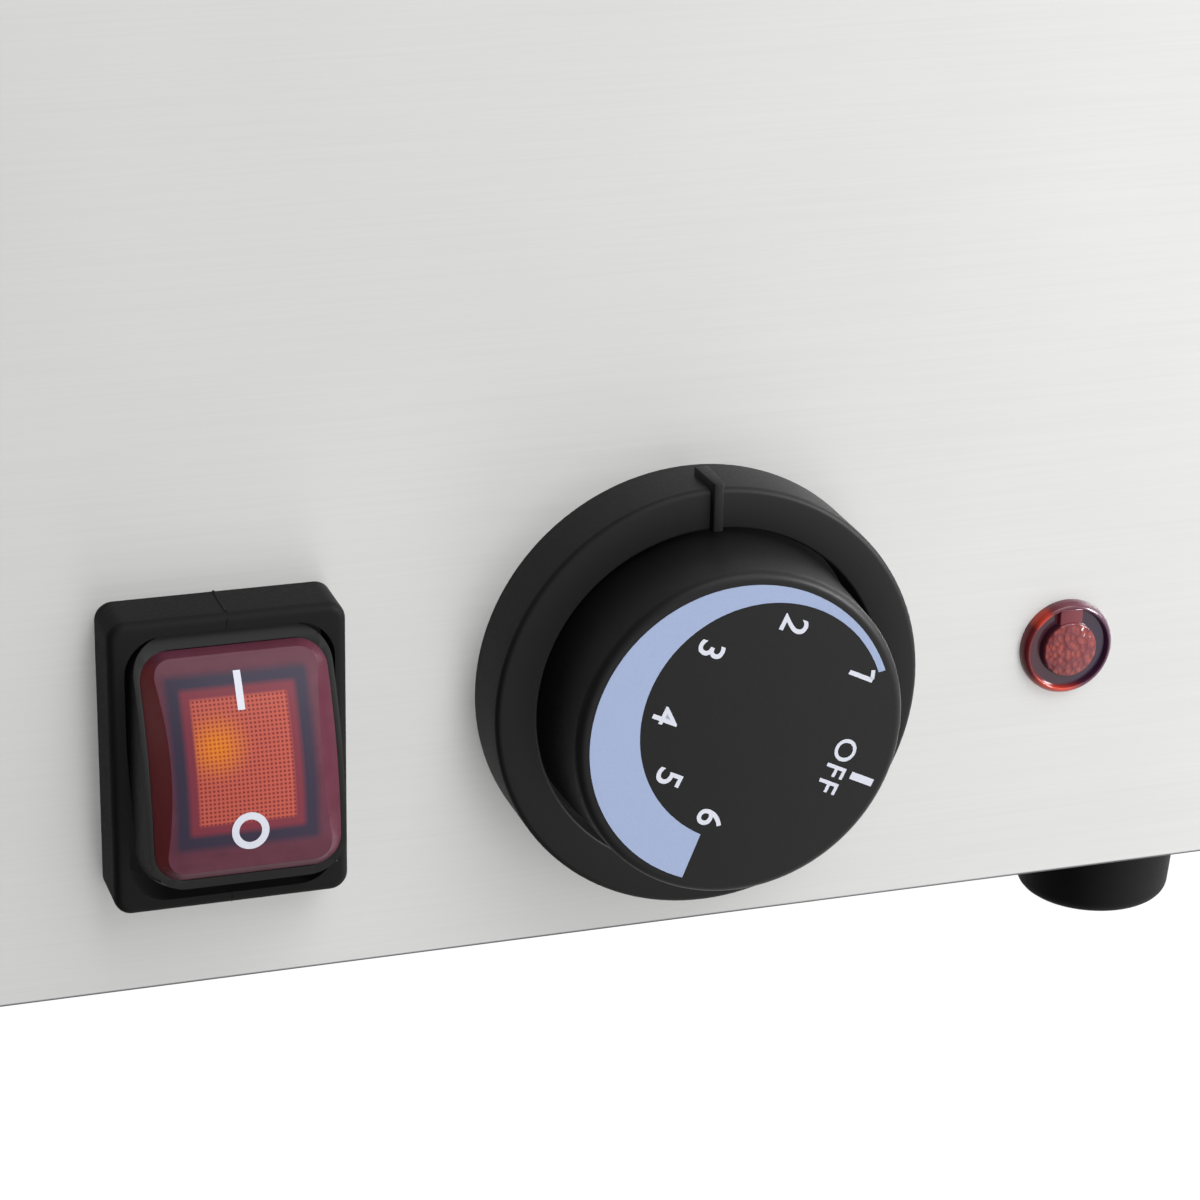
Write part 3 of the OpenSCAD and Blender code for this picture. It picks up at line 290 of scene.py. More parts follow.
# Turned brass: yellow, slightly dulled.
turned_brass = mottled("turned_brass", "#b58c3e", "#d2ad62", 2.0, 0.30, metal=1.0)
# Drawn copper: the sensing tube.
drawn_copper = mottled("drawn_copper", "#a2613c", "#c98a5e", 3.0, 0.32, metal=1.0)
# Heater sheath: stainless tube tinted straw and grey by heat.
heat_tinted_steel = mottled("heat_tinted_steel", "#6d645a", "#93877a", 9.0, 0.38, metal=1.0)
# Steatite: the cream ceramic of blocks and cut-outs.
cream_ceramic = mottled("cream_ceramic", "#d6cfbd", "#e8e2d3", 1.2, 0.55)
# Silicone: brick-red seals.
red_silicone = mottled("red_silicone", "#7d2a20", "#963a2c", 1.0, 0.6)
# Dipped vinyl: the tap lever's soft red sleeve.
red_vinyl = mottled("red_vinyl", "#8f1414", "#a81e1b", 2.0, 0.42, bump=0.2)
# Moulded rubber: the switch flange, the feet and the tap's seal, dull black with a dusty bloom.
moulded_rubber = mottled("moulded_rubber", "#0e0e0f", "#151516", 0.5, 0.62, bump=0.2, shine=0.12)
# Satin ABS: the fine-spark texture of the dial ring and the rocker.
satin_abs = mottled("satin_abs", "#121213", "#19191a", 0.35, 0.50, bump=0.15, shine=0.2)
# Phenolic: the knob, harder and a little smoother than the ring.
knob_phenolic = mottled("knob_phenolic", "#111111", "#181818", 0.3, 0.42, bump=0.12, shine=0.22)
# Nylon: glands and the hidden bodies of switch and lamp.
black_nylon = mottled("black_nylon", "#121213", "#1c1c1e", 0.8, 0.5, bump=0.2)
# Pad-printed ink of the crescent: pale lavender with a thin, slightly patchy film.
lavender_ink = mottled("lavender_ink", "#8593b4", "#919eba", 0.4, 0.5, bump=0.05)
# Pad-printed ink of figures and switch marks: nearly white.
white_ink = mottled("white_ink", "#b8bbc7", "#c5c7cf", 0.4, 0.5, bump=0.05)
print("finishes:", len(bpy.data.materials))

# %% [markdown]
# ## The rocker's lit cap
# The cap is clear red polycarbonate over a lit amber lens. Seen from the front it shows, from outside in,
# a dusky red border, a dark frame where the housing shows through, a red edge and a window of tiny
# prisms, a little over half a millimetre apart, that glows hottest in front of the neon. The left side wall
# carries a painted shade of its own, a purer red than the border, for how light falls on that side. The
# pattern lies in the plan of the cap, so the cap carries a UV map of its plan, 40 mm to the unit, and masks
# cut out the rectangles.

# %% Lit cap finish
PLAN_MM = 40.0
WINDOW_AT = (-0.25, 0.1)
RECTANGLES = (("frame", 9.3, 11.2, 0.5), ("edge", 7.5, 9.4, 0.4), ("window", 6.3, 8.15, 0.25))
PRISM_MM, HAZE_MM = 0.55, 2.857
NEON_AT, NEON_REACH = (-3.4, 2.0, 0.0), 5.4
# Where the painted shade on the cap's left side wall begins and where it is full.
PAINTED_FLANK_FROM, PAINTED_FLANK_FULL = -0.3, -0.7
WINDOW_GLOW = 0.3
lit_cap, tree = empty_material("lit_polycarbonate_cap")
plan = add_node(tree, "ShaderNodeUVMap", {"uv_map": "plan"})
plan_mm = add_node(
    tree, "ShaderNodeMapping", {"vector_type": "POINT"},
    {"Vector": plan.outputs[0], "Scale": (PLAN_MM, PLAN_MM, 1),
     "Location": (-PLAN_MM / 2 - WINDOW_AT[0], -PLAN_MM / 2 - WINDOW_AT[1], 0)},
)
plan_xyz = add_node(tree, "ShaderNodeSeparateXYZ", None, {0: plan_mm.outputs[0]})
across = add_node(tree, "ShaderNodeMath", {"operation": "ABSOLUTE"}, {0: plan_xyz.outputs[0]})
along = add_node(tree, "ShaderNodeMath", {"operation": "ABSOLUTE"}, {0: plan_xyz.outputs[1]})
masks = {}
for part, half_w, half_l, blur in RECTANGLES:
    inside = [
        add_node(
            tree, "ShaderNodeMapRange", None,
            {0: reach.outputs[0], 1: half - blur, 2: half + blur, 3: 1.0, 4: 0.0},
        )
        for reach, half in ((across, half_w), (along, half_l))
    ]
    masks[part] = add_node(
        tree, "ShaderNodeMath", {"operation": "MULTIPLY"}, {0: inside[0].outputs[0], 1: inside[1].outputs[0]}
    ).outputs[0]
ripples = []
for axis in (0, 1):
    phase = add_node(
        tree, "ShaderNodeMath", {"operation": "MULTIPLY"}, {0: plan_xyz.outputs[axis], 1: math.tau / PRISM_MM}
    )
    wave = add_node(tree, "ShaderNodeMath", {"operation": "SINE"}, {0: phase.outputs[0]})
    ripples.append(
        add_node(tree, "ShaderNodeMapRange", None, {0: wave.outputs[0], 1: -1.0, 2: 1.0, 3: 0.0, 4: 1.0})
    )
prisms = add_node(
    tree, "ShaderNodeMath", {"operation": "MULTIPLY"}, {0: ripples[0].outputs[0], 1: ripples[1].outputs[0]}
)
prism_level = add_node(
    tree, "ShaderNodeMapRange", None, {0: prisms.outputs[0], 1: 0.0, 2: 0.8, 3: 1.0, 4: 0.0}
)
glow_place = add_node(
    tree, "ShaderNodeVectorMath", {"operation": "SUBTRACT"}, {0: plan_mm.outputs[0], 1: NEON_AT}
)
glow_far = add_node(tree, "ShaderNodeVectorMath", {"operation": "LENGTH"}, {0: glow_place.outputs[0]})
glow = add_node(
    tree, "ShaderNodeMapRange", {"interpolation_type": "SMOOTHSTEP"},
    {0: glow_far.outputs["Value"], 1: 0.0, 2: NEON_REACH, 3: 1.0, 4: 0.0},
)
prism_tones = [
    add_node(
        tree, "ShaderNodeMix", {"data_type": "RGBA"},
        {0: glow.outputs[0], 6: linear(dim_hex), 7: linear(hot_hex)},
    )
    for dim_hex, hot_hex in (("#5f1a1c", "#88390c"), ("#98463a", "#b4661c"))
]
window_tone = add_node(
    tree, "ShaderNodeMix", {"data_type": "RGBA"},
    {0: prism_level.outputs[0], 6: prism_tones[0].outputs[2], 7: prism_tones[1].outputs[2]},
)
haze = add_node(
    tree, "ShaderNodeTexNoise", None,
    {"Vector": plan_mm.outputs[0], "Scale": 1 / HAZE_MM, "Detail": 2.0},
)
border_tone = add_node(
    tree, "ShaderNodeMix", {"data_type": "RGBA"},
    {0: haze.outputs[0], 6: linear("#49222d"), 7: linear("#5a2f3e")},
)
# Painted shade: where the cap's normal points left, its side wall takes a tone of its own.
cap_side = add_node(tree, "ShaderNodeTexCoord")
side_xyz = add_node(tree, "ShaderNodeSeparateXYZ", None, {0: cap_side.outputs["Normal"]})
left_flank_painted_shade = add_node(
    tree, "ShaderNodeMapRange", None, {0: side_xyz.outputs[0], 1: PAINTED_FLANK_FROM, 2: PAINTED_FLANK_FULL, 3: 0.0, 4: 1.0}
)
cap_tone = border_tone.outputs[2]
# The first tone is the painted shade of the left side wall; the rest are the cap's frame, edge and window.
for mask, tone in (
    (left_flank_painted_shade.outputs[0], linear("#682629")), (masks["frame"], linear("#2d2637")),
    (masks["edge"], linear("#6a2a36")), (masks["window"], window_tone.outputs[2]),
):
    cap_tone = add_node(
        tree, "ShaderNodeMix", {"data_type": "RGBA"}, {0: mask, 6: cap_tone, 7: tone}
    ).outputs[2]
cap_light = add_node(
    tree, "ShaderNodeMapRange", None, {0: masks["window"], 1: 0.0, 2: 1.0, 3: 0.0, 4: WINDOW_GLOW}
)
cap = add_node(
    tree, "ShaderNodeBsdfPrincipled", None,
    {"Base Color": cap_tone, "Roughness": 0.34, "Specular IOR Level": 0.22,
     "Emission Color": cap_tone, "Emission Strength": cap_light.outputs[0]},
)
add_node(tree, "ShaderNodeOutputMaterial", None, {"Surface": cap.outputs[0]})
print("finish:", lit_cap.name)

# %% [markdown]
# ## The lamp's red lens
# The lamp's head is moulded in clear red polystyrene. Its middle is a field of pebbles about 0.8 mm wide
# that scatter the light. Its rim carries painted light: an orange glow at the bottom and at the upper left,
# where light leaves the clear rim, and painted shade that turns the rim and the groove darker and more
# purple towards the right. The lens is nearly opaque from outside, so a deep red with a glossy coat and a
# faint glow of its own gives the same picture. The zones are rings about the lamp's axis; the lug at the
# top cuts across the groove.

# %% Lamp finish
lamp_at = (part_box("lamp_lens")[0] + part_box("lamp_lens")[1]) / 2
PEBBLE, PEBBLE_DEEP = 0.85 * MM, 0.2 * MM
FIELD_EDGE = (3.8 * MM, 4.1 * MM)
GROOVE_EDGE = (5.6 * MM, 6.0 * MM)
# The span over which painted shade turns the rim and groove from their left tone to their right one.
LAMP_SIDE_SHADE_SPAN = (-5 * MM, 5 * MM)
LUG_SIDE = (1.7 * MM, 1.9 * MM)
LUG_LOW = (0.0, 0.5 * MM)
# Painted glows on the rim, at the bottom and upper left: direction, start and strength.
PAINTED_RIM_GLOWS = (((-0.30, 0.0, -0.954), 0.72, 1.0), ((-0.66, 0.0, 0.751), 0.955, 0.8))
lamp_red, tree = empty_material("clear_red_polystyrene")
place = add_node(tree, "ShaderNodeTexCoord")
from_axis = add_node(
    tree, "ShaderNodeMapping", {"vector_type": "POINT"},
    {"Vector": place.outputs["Object"], "Location": tuple(-lamp_at), "Scale": (1, 1, 1)},
)
flat_place = add_node(
    tree, "ShaderNodeVectorMath", {"operation": "MULTIPLY"}, {0: from_axis.outputs[0], 1: (1.0, 0.0, 1.0)}
)
flat_xyz = add_node(tree, "ShaderNodeSeparateXYZ", None, {0: flat_place.outputs[0]})
axis_far = add_node(tree, "ShaderNodeVectorMath", {"operation": "LENGTH"}, {0: flat_place.outputs[0]})
lug_side = add_node(tree, "ShaderNodeMath", {"operation": "ABSOLUTE"}, {0: flat_xyz.outputs[0]})
zones = {}
# The across zone paints shade from left to right over the rim and the groove.
for zone, reach, (start, end), first, last in (
    ("field", axis_far.outputs["Value"], FIELD_EDGE, 1.0, 0.0),
    ("groove", axis_far.outputs["Value"], GROOVE_EDGE, 1.0, 0.0),
    ("across", flat_xyz.outputs[0], LAMP_SIDE_SHADE_SPAN, 0.0, 1.0),
    ("lug_wide", lug_side.outputs[0], LUG_SIDE, 1.0, 0.0),
    ("lug_high", flat_xyz.outputs[2], LUG_LOW, 0.0, 1.0),
):
    zones[zone] = add_node(
        tree, "ShaderNodeMapRange", None, {0: reach, 1: start, 2: end, 3: first, 4: last}
    ).outputs[0]
on_lug = add_node(
    tree, "ShaderNodeMath", {"operation": "MULTIPLY"}, {0: zones["lug_wide"], 1: zones["lug_high"]}
)
pebbles = add_node(
    tree, "ShaderNodeTexVoronoi", {"feature": "F1"}, {"Vector": flat_place.outputs[0], "Scale": 1 / PEBBLE}
)
pebble_level = add_node(
    tree, "ShaderNodeMapRange", None, {0: pebbles.outputs["Distance"], 1: 0.1, 2: 0.7, 3: 0.0, 4: 1.0}
)
outward = add_node(tree, "ShaderNodeVectorMath", {"operation": "NORMALIZE"}, {0: flat_place.outputs[0]})
# Painted light: orange glows on the rim where light leaves the lens.
glows = []
for direction, spread, level in PAINTED_RIM_GLOWS:
    toward = add_node(
        tree, "ShaderNodeVectorMath", {"operation": "DOT_PRODUCT"}, {0: outward.outputs[0], 1: direction}
    )
    glows.append(
        add_node(
            tree, "ShaderNodeMapRange", {"interpolation_type": "SMOOTHSTEP"},
            {0: toward.outputs["Value"], 1: spread, 2: 1.0, 3: 0.0, 4: level},
        )
    )
painted_rim_glow = add_node(
    tree, "ShaderNodeMath", {"operation": "MAXIMUM"}, {0: glows[0].outputs[0], 1: glows[1].outputs[0]}
)
tones = {}
# Rim and groove tones run from left to right into a darker, more purple painted shade.
for zone, share, first, second in (
    ("pebbles", pebble_level.outputs[0], linear("#8a382f"), linear("#662028")),
    ("rim", zones["across"], linear("#60161c"), linear("#48223a")),
    ("groove", zones["across"], linear("#3a1822"), linear("#281a30")),
):
    tones[zone] = add_node(
        tree, "ShaderNodeMix", {"data_type": "RGBA"}, {0: share, 6: first, 7: second}
    ).outputs[2]
# The rim takes its painted glow.
rim_with_painted_glow = add_node(
    tree, "ShaderNodeMix", {"data_type": "RGBA"},
    {0: painted_rim_glow.outputs[0], 6: tones["rim"], 7: linear("#b43620")},
)
groove_and_lug = add_node(
    tree, "ShaderNodeMix", {"data_type": "RGBA"},
    {0: on_lug.outputs[0], 6: tones["groove"], 7: linear("#66202a")},
)
with_groove = add_node(
    tree, "ShaderNodeMix", {"data_type": "RGBA"},
    {0: zones["groove"], 6: rim_with_painted_glow.outputs[2], 7: groove_and_lug.outputs[2]},
)
red_tone = add_node(
    tree, "ShaderNodeMix", {"data_type": "RGBA"},
    {0: zones["field"], 6: with_groove.outputs[2], 7: tones["pebbles"]},
)
pebble_bump = add_node(
    tree, "ShaderNodeBump", None,
    {"Strength": zones["field"], "Distance": PEBBLE_DEEP, "Height": pebbles.outputs["Distance"]},
)
lamp_shader = add_node(
    tree, "ShaderNodeBsdfPrincipled", None,
    {"Base Color": red_tone.outputs[2], "Roughness": 0.18, "Normal": pebble_bump.outputs[0],
     "Coat Weight": 0.3, "Coat Roughness": 0.05,
     "Emission Color": red_tone.outputs[2], "Emission Strength": 0.08},
)
add_node(tree, "ShaderNodeOutputMaterial", None, {"Surface": lamp_shader.outputs[0]})
print("finishes:", len(bpy.data.materials))

# %% [markdown]
# ## Finishes on the CAD pieces
# Pieces whose CAD form is already right keep it, and only get their finish. The table below says what each
# one is made of; everything that is remade later is hidden by its new piece.

# %% Dress the CAD pieces
made_of = {
    brushed_stainless: "outer_casing rear_panel top_deck",
    polished_stainless: "water_tank food_pan lid_rear lid_front hinge_pin handle_front handle_rear "
    "element_supports bulb_clips drain_pipe",
    plated_zinc: "base_plate rear_screws base_screws foot_screws foot_nuts thermostat_shaft "
    "thermostat_screws rocker_pin screws_front screws_rear",
    chromed_brass: "tap_body tap_spout tap_nut tap_stem lever_nut",
    turned_brass: "thermostat_tabs switch_tabs element_glands element_nuts",
    drawn_copper: "capillary_bulb",
    heat_tinted_steel: "heating_element",
    cream_ceramic: "thermostat_body thermal_cutout terminal_block",
    red_silicone: "element_seals",
    red_vinyl: "tap_lever",
    moulded_rubber: "foot_fl foot_fr foot_rl foot_rr switch_boot tap_seal",
    satin_abs: "dial_ring switch_rocker lamp_nut",
    knob_phenolic: "knob",
    black_nylon: "switch_housing lamp_body cord_gland gland_nut",
    lit_cap: "switch_lens switch_diffuser",
    lamp_red: "lamp_lens",
}
dressed = set()
for finish, names in made_of.items():
    for name in names.split():
        nodes[name].data.materials.clear()
        nodes[name].data.materials.append(finish)
        dressed.add(name)
print("dressed:", len(dressed), "left:", sorted(set(nodes) - dressed))

# %% [markdown]
# ## Helpers for moulded pieces
# Moulded controls are either turned forms or rounded slabs. A turned form is an outline spun about its
# axis; a slab is a cube with its upright edges bevelled. Both are drawn with the panel's face as the
# ground, x to the right, y up and z out of the panel, and set in place at the end. All their sizes are
# in millimetres.

# %% Modelling helpers
NEAR = 0.001 * MM
MERGE = 0.0001 * MM


def shift(mesh, x=0.0, y=0.0, z=0.0):
    """Moves a mesh by millimetres."""
    bmesh.ops.translate(mesh, vec=(x * MM, y * MM, z * MM), verts=mesh.verts)


def turn(mesh, degrees):
    """Turns a mesh about the axis that stands on the panel."""
    about = Matrix.Rotation(math.radians(degrees), 3, "Z")
    bmesh.ops.rotate(mesh, cent=(0, 0, 0), matrix=about, verts=mesh.verts)


def polar(radius, angle):
    """The place at a radius and an angle in degrees."""
    return radius * math.cos(math.radians(angle)), radius * math.sin(math.radians(angle))


def revolve(outline, steps=128):
    """Spins an outline of (radius, height) points about z."""
    mesh = bmesh.new()
    verts = [mesh.verts.new((r * MM, 0.0, h * MM)) for r, h in outline]
    edges = [mesh.edges.new(pair) for pair in zip(verts, verts[1:])]
    bmesh.ops.spin(
        mesh, geom=verts + edges, cent=(0, 0, 0), axis=(0, 0, 1), angle=math.tau, steps=steps, use_merge=True
    )
    bmesh.ops.remove_doubles(mesh, verts=mesh.verts, dist=MERGE)
    bmesh.ops.recalc_face_normals(mesh, faces=mesh.faces)
    return mesh


def soften(mesh, edges, radius, segments=5):
    """Rounds edges with a bevel."""
    bmesh.ops.bevel(
        mesh, geom=edges, offset=radius * MM, offset_type="OFFSET", segments=segments, profile=0.5,
        affect="EDGES", material=-1, clamp_overlap=True,
    )


def ring_edges(mesh, radius, height):
    """The edges of one circle of a turned form."""
    def on_ring(vert):
        off_radius = abs(vert.co.xy.length - radius * MM)
        return off_radius < 2 * NEAR and abs(vert.co.z - height * MM) < 2 * NEAR

    return [edge for edge in mesh.edges if all(on_ring(vert) for vert in edge.verts)]


def block(width, length, height, centre):
    """A box round a centre."""
    mesh = bmesh.new()
    bmesh.ops.create_cube(mesh, size=1.0)
    bmesh.ops.scale(mesh, vec=(width * MM, length * MM, height * MM), verts=mesh.verts)
    shift(mesh, *centre)
    return mesh


def slab(width, length, low, high, corner, segments=10):
    """A block with round upright corners."""
    mesh = block(width, length, high - low, (0, 0, (low + high) / 2))
    upright = [e for e in mesh.edges if abs(e.verts[0].co.z - e.verts[1].co.z) > NEAR]
    soften(mesh, upright, corner, segments)
    return mesh


def patch(width, length, columns=1, rows=1):
    """A flat rectangle, cut into columns and rows."""
    mesh = bmesh.new()
    bmesh.ops.create_grid(mesh, x_segments=columns, y_segments=rows, size=0.5)
    bmesh.ops.scale(mesh, vec=(width * MM, length * MM, 1), verts=mesh.verts)
    return mesh


def top_face(mesh):
    """The highest face that looks up."""
    return max((f for f in mesh.faces if f.normal.z > 0.9), key=lambda f: f.calc_center_median().z)


def rim_edges(mesh, height):
    """The edges at one height between a level face and a wall."""
    level = [e for e in mesh.edges if all(abs(v.co.z - height * MM) < NEAR for v in e.verts)]
    return [e for e in level if any(abs(f.normal.z) < 0.5 for f in e.link_faces)]


def panel_place(x, z, tilt=0.0, pivot=0.0):
    """Matrix, in metres, that sets a control on the panel and tilts it about a pin at the pivot's height."""
    stand = Matrix.Translation((x, PANEL_Y, z)) @ Matrix.Rotation(math.radians(90), 4, "X")
    lean = Matrix.Translation((0, 0, pivot)) @ Matrix.Rotation(math.radians(tilt), 4, "X")
    return stand @ lean @ Matrix.Translation((0, 0, -pivot))


def gather(parts):
    """Joins several meshes into one."""
    whole = bmesh.new()
    for part in parts:
        data = bpy.data.meshes.new("part")
        part.to_mesh(data)
        part.free()
        whole.from_mesh(data)
        bpy.data.meshes.remove(data)
    return whole


def finish_piece(name, mesh, finish, body, matrix, covers=(), sharp=35):
    """Sets a mesh in place as a named piece that rides on a CAD body."""
    bmesh.ops.transform(mesh, matrix=matrix, verts=mesh.verts)
    bmesh.ops.recalc_face_normals(mesh, faces=mesh.faces)
    data = bpy.data.meshes.new(name)
    mesh.to_mesh(data)
    mesh.free()
    data.materials.append(finish)
    data.shade_smooth()
    data.set_sharp_from_angle(angle=math.radians(sharp))
    piece = bpy.data.objects.new(name, data)
    scene.collection.objects.link(piece)
    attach(piece, body)
    if covers:
        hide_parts(*covers)
    print("piece:", name, len(data.polygons), "faces")
    return piece


# %% [markdown]
# ## The dial ring
# A fixed ring surrounds the knob and carries the pointer. It is a shallow cup, turned about the dial's
# axis, with crisp but not sharp edges. The pointer is a ridge across its face and down its side at the
# top, so that it can be read from above as well. The ridge narrows as it rises.

# %% Dial ring
DIAL_PLACE = panel_place(joint_at["knob_turn"].x, joint_at["knob_turn"].z)
RING_R, RING_H, RING_IN, RING_FLOOR, RING_BORE = 30.0, 9.9, 24.3, 2.0, 5.4
RING_ROUND, RING_LIP = 0.8, 0.4
ring = revolve([
    (RING_BORE, 0), (RING_R, 0), (RING_R, RING_H), (RING_IN, RING_H), (RING_IN, RING_FLOOR),
    (RING_BORE, RING_FLOOR), (RING_BORE, 0),
])
soften(ring, ring_edges(ring, RING_R, RING_H), RING_ROUND)
soften(ring, ring_edges(ring, RING_IN, RING_H), RING_LIP, 3)
finish_piece("ring_cup", ring, satin_abs, "base", DIAL_PLACE, ["dial_ring"])

RIDGE_W, RIDGE_H, RIDGE_LOW, RIDGE_TAPER, RIDGE_ROUND = 1.7, 1.2, 4.0, 0.15, 0.22
PROUD = 0.1
ridge = block(
    RIDGE_W, RING_R - RING_IN + RIDGE_H, RING_H + RIDGE_H - RIDGE_LOW,
    (0, (RING_R + RING_IN + RIDGE_H) / 2, (RING_H + RIDGE_H + RIDGE_LOW) / 2),
)
ridge_top = [v for v in ridge.verts if v.co.z > RING_H * MM]
ridge_foot = [v for v in ridge.verts if v.co.z < RING_H * MM]
bmesh.ops.scale(ridge, vec=(1 - RIDGE_TAPER, 1, 1), verts=ridge_top)
bmesh.ops.scale(ridge, vec=(1 + RIDGE_TAPER, 1, 1), verts=ridge_foot)
proud_edges = [
    e for e in ridge.edges
    if all(v.co.y > (RING_R + PROUD) * MM or v.co.z > (RING_H + PROUD) * MM for v in e.verts)
]
soften(ridge, proud_edges, RIDGE_ROUND, 3)
finish_piece("ring_pointer", ridge, satin_abs, "base", DIAL_PLACE)

# %% [markdown]
# ## The knob
# The knob is a plain tapered drum. Its charm is in the edge: a rounded rim that catches one line of light.
# The inside is hollow like the real one, so the outline runs round the wall.

# %% Knob
KNOB_FACE, KNOB_LOW, KNOB_TOP_R, KNOB_LOW_R, KNOB_WALL, KNOB_ROUND = 22.6, 3.2, 22.8, 23.7, 2.0, 1.2
drum = revolve(
    [(0, KNOB_FACE), (KNOB_TOP_R, KNOB_FACE), (KNOB_LOW_R, KNOB_LOW), (KNOB_LOW_R - KNOB_WALL, KNOB_LOW),
     (KNOB_TOP_R - KNOB_WALL, KNOB_FACE - KNOB_WALL), (0, KNOB_FACE - KNOB_WALL)],
    160,
)
soften(drum, ring_edges(drum, KNOB_TOP_R, KNOB_FACE), KNOB_ROUND, 6)
finish_piece("knob_drum", drum, knob_phenolic, "knob_body", DIAL_PLACE, ["knob"])

# %% [markdown]
# ## The printed scale
# The scale is pad-printed on the knob's face: a crescent that swells from cool to hot, the figures 1 to 6,
# and OFF with its tick. Every figure stands upright when the tick is at the pointer, so all are turned by
# the same angle. The crescent lies between two arcs with different centres; two spun arcs are bridged.
# The figures come from Blender's own font, a little bolder and wider set, and the 1 gets a longer flag.

# %% Printed crescent
INK_T = 0.04
ARC_STEPS = 72
PRINT_Z = KNOB_FACE + 0.005
OUTER_R, OUTER_FROM, OUTER_TO = 21.1, 19.5, 248.0
INNER_R, INNER_FROM, INNER_TO = 17.05, 19.0, 240.9
INNER_SHIFT = (2.81, 1.31)


def arc(mesh, centre, radius, start, end):
    """A chain of edges along an arc, from one angle to another in degrees."""
    x, y = polar(radius, start)
    first = mesh.verts.new(((centre[0] + x) * MM, (centre[1] + y) * MM, 0))
    before = set(mesh.edges)
    bmesh.ops.spin(
        mesh, geom=[first], cent=(centre[0] * MM, centre[1] * MM, 0), axis=(0, 0, 1),
        angle=math.radians(end - start), steps=ARC_STEPS,
    )
    return [e for e in mesh.edges if e not in before]


def thicken(mesh):
    """Gives a flat print its film of ink."""
    grown = bmesh.ops.extrude_face_region(mesh, geom=mesh.faces[:])
    lifted = [g for g in grown["geom"] if isinstance(g, bmesh.types.BMVert)]
    bmesh.ops.translate(mesh, vec=(0, 0, INK_T * MM), verts=lifted)
    return mesh


crescent = bmesh.new()
outer_arc = arc(crescent, (0, 0), OUTER_R, OUTER_FROM, OUTER_TO)
inner_arc = arc(crescent, INNER_SHIFT, INNER_R, INNER_FROM, INNER_TO)
bmesh.ops.bridge_loops(crescent, edges=outer_arc + inner_arc)
thicken(crescent)
shift(crescent, z=PRINT_Z)
finish_piece("scale_crescent", crescent, lavender_ink, "knob_body", DIAL_PLACE)

# %% Printed figures
OFF_ANGLE = 334.0
FIGURE_H, OFF_H = 3.7, 3.0
CAPITAL_SHARE, BOLDER, SPACING = 0.70, 0.015, 1.15
ONE_AT = (17.7, 21.8)
FIGURES = (
    ("1", FIGURE_H, *ONE_AT), ("2", FIGURE_H, 16.3, 65.4), ("3", FIGURE_H, 13.5, 110.4),
    ("4", FIGURE_H, 11.3, 159.6), ("5", FIGURE_H, 11.2, 205.5), ("6", FIGURE_H, 12.2, 249.8),
    ("OFF", OFF_H, 14.9, 336.2),
)
FLAG_W, FLAG_L, FLAG_LEAN, FLAG_AT = 0.55, 1.3, 20, (1.5, 0.75)
TICK_L, TICK_W, TICK_R = 3.5, 1.05, 19.1


def printed(words, height, radius, angle):
    """Figures of a height, centred on a place of the dial."""
    curve = bpy.data.curves.new("figures", "FONT")
    curve.body = words
    curve.size = height * MM / CAPITAL_SHARE
    curve.offset = BOLDER * height * MM
    curve.resolution_u = 6
    curve.space_character = SPACING
    holder = bpy.data.objects.new("figures", curve)
    scene.collection.objects.link(holder)
    flat = bpy.data.meshes.new_from_object(holder.evaluated_get(bpy.context.evaluated_depsgraph_get()))
    bpy.data.objects.remove(holder)
    bpy.data.curves.remove(curve)
    mesh = bmesh.new()
    mesh.from_mesh(flat)
    bpy.data.meshes.remove(flat)
    xs = [v.co.x for v in mesh.verts]
    ys = [v.co.y for v in mesh.verts]
    middle = Vector(((min(xs) + max(xs)) / 2, (min(ys) + max(ys)) / 2, 0))
    bmesh.ops.translate(mesh, vec=-middle, verts=mesh.verts)
    turn(mesh, OFF_ANGLE - 90)
    shift(mesh, *polar(radius, angle))
    return thicken(mesh)


marks = [printed(*figure) for figure in FIGURES]
flag = patch(FLAG_W, FLAG_L)
turn(flag, FLAG_LEAN)
shift(flag, *FLAG_AT)
turn(flag, OFF_ANGLE)
shift(flag, *polar(*ONE_AT))
marks.append(thicken(flag))
tick = patch(TICK_L, TICK_W)
shift(tick, TICK_R)
turn(tick, OFF_ANGLE)
marks.append(thicken(tick))
figures = gather(marks)
shift(figures, z=PRINT_Z)
finish_piece("scale_figures", figures, white_ink, "knob_body", DIAL_PLACE)

# %% [markdown]
# ## The switch's rubber flange
# A splash-proof switch sits in a thick rubber flange. Its corners and front edges are soft, and a fine
# moulding line runs over its middle, top and bottom. A slab is inset for the opening, sunk, and its
# outer rim bevelled. The opening's corners are rounder than the flange's, so each point of the inset
# moves to the same angle on the opening's own corner. The soft rim sits a hair off the opening's middle.

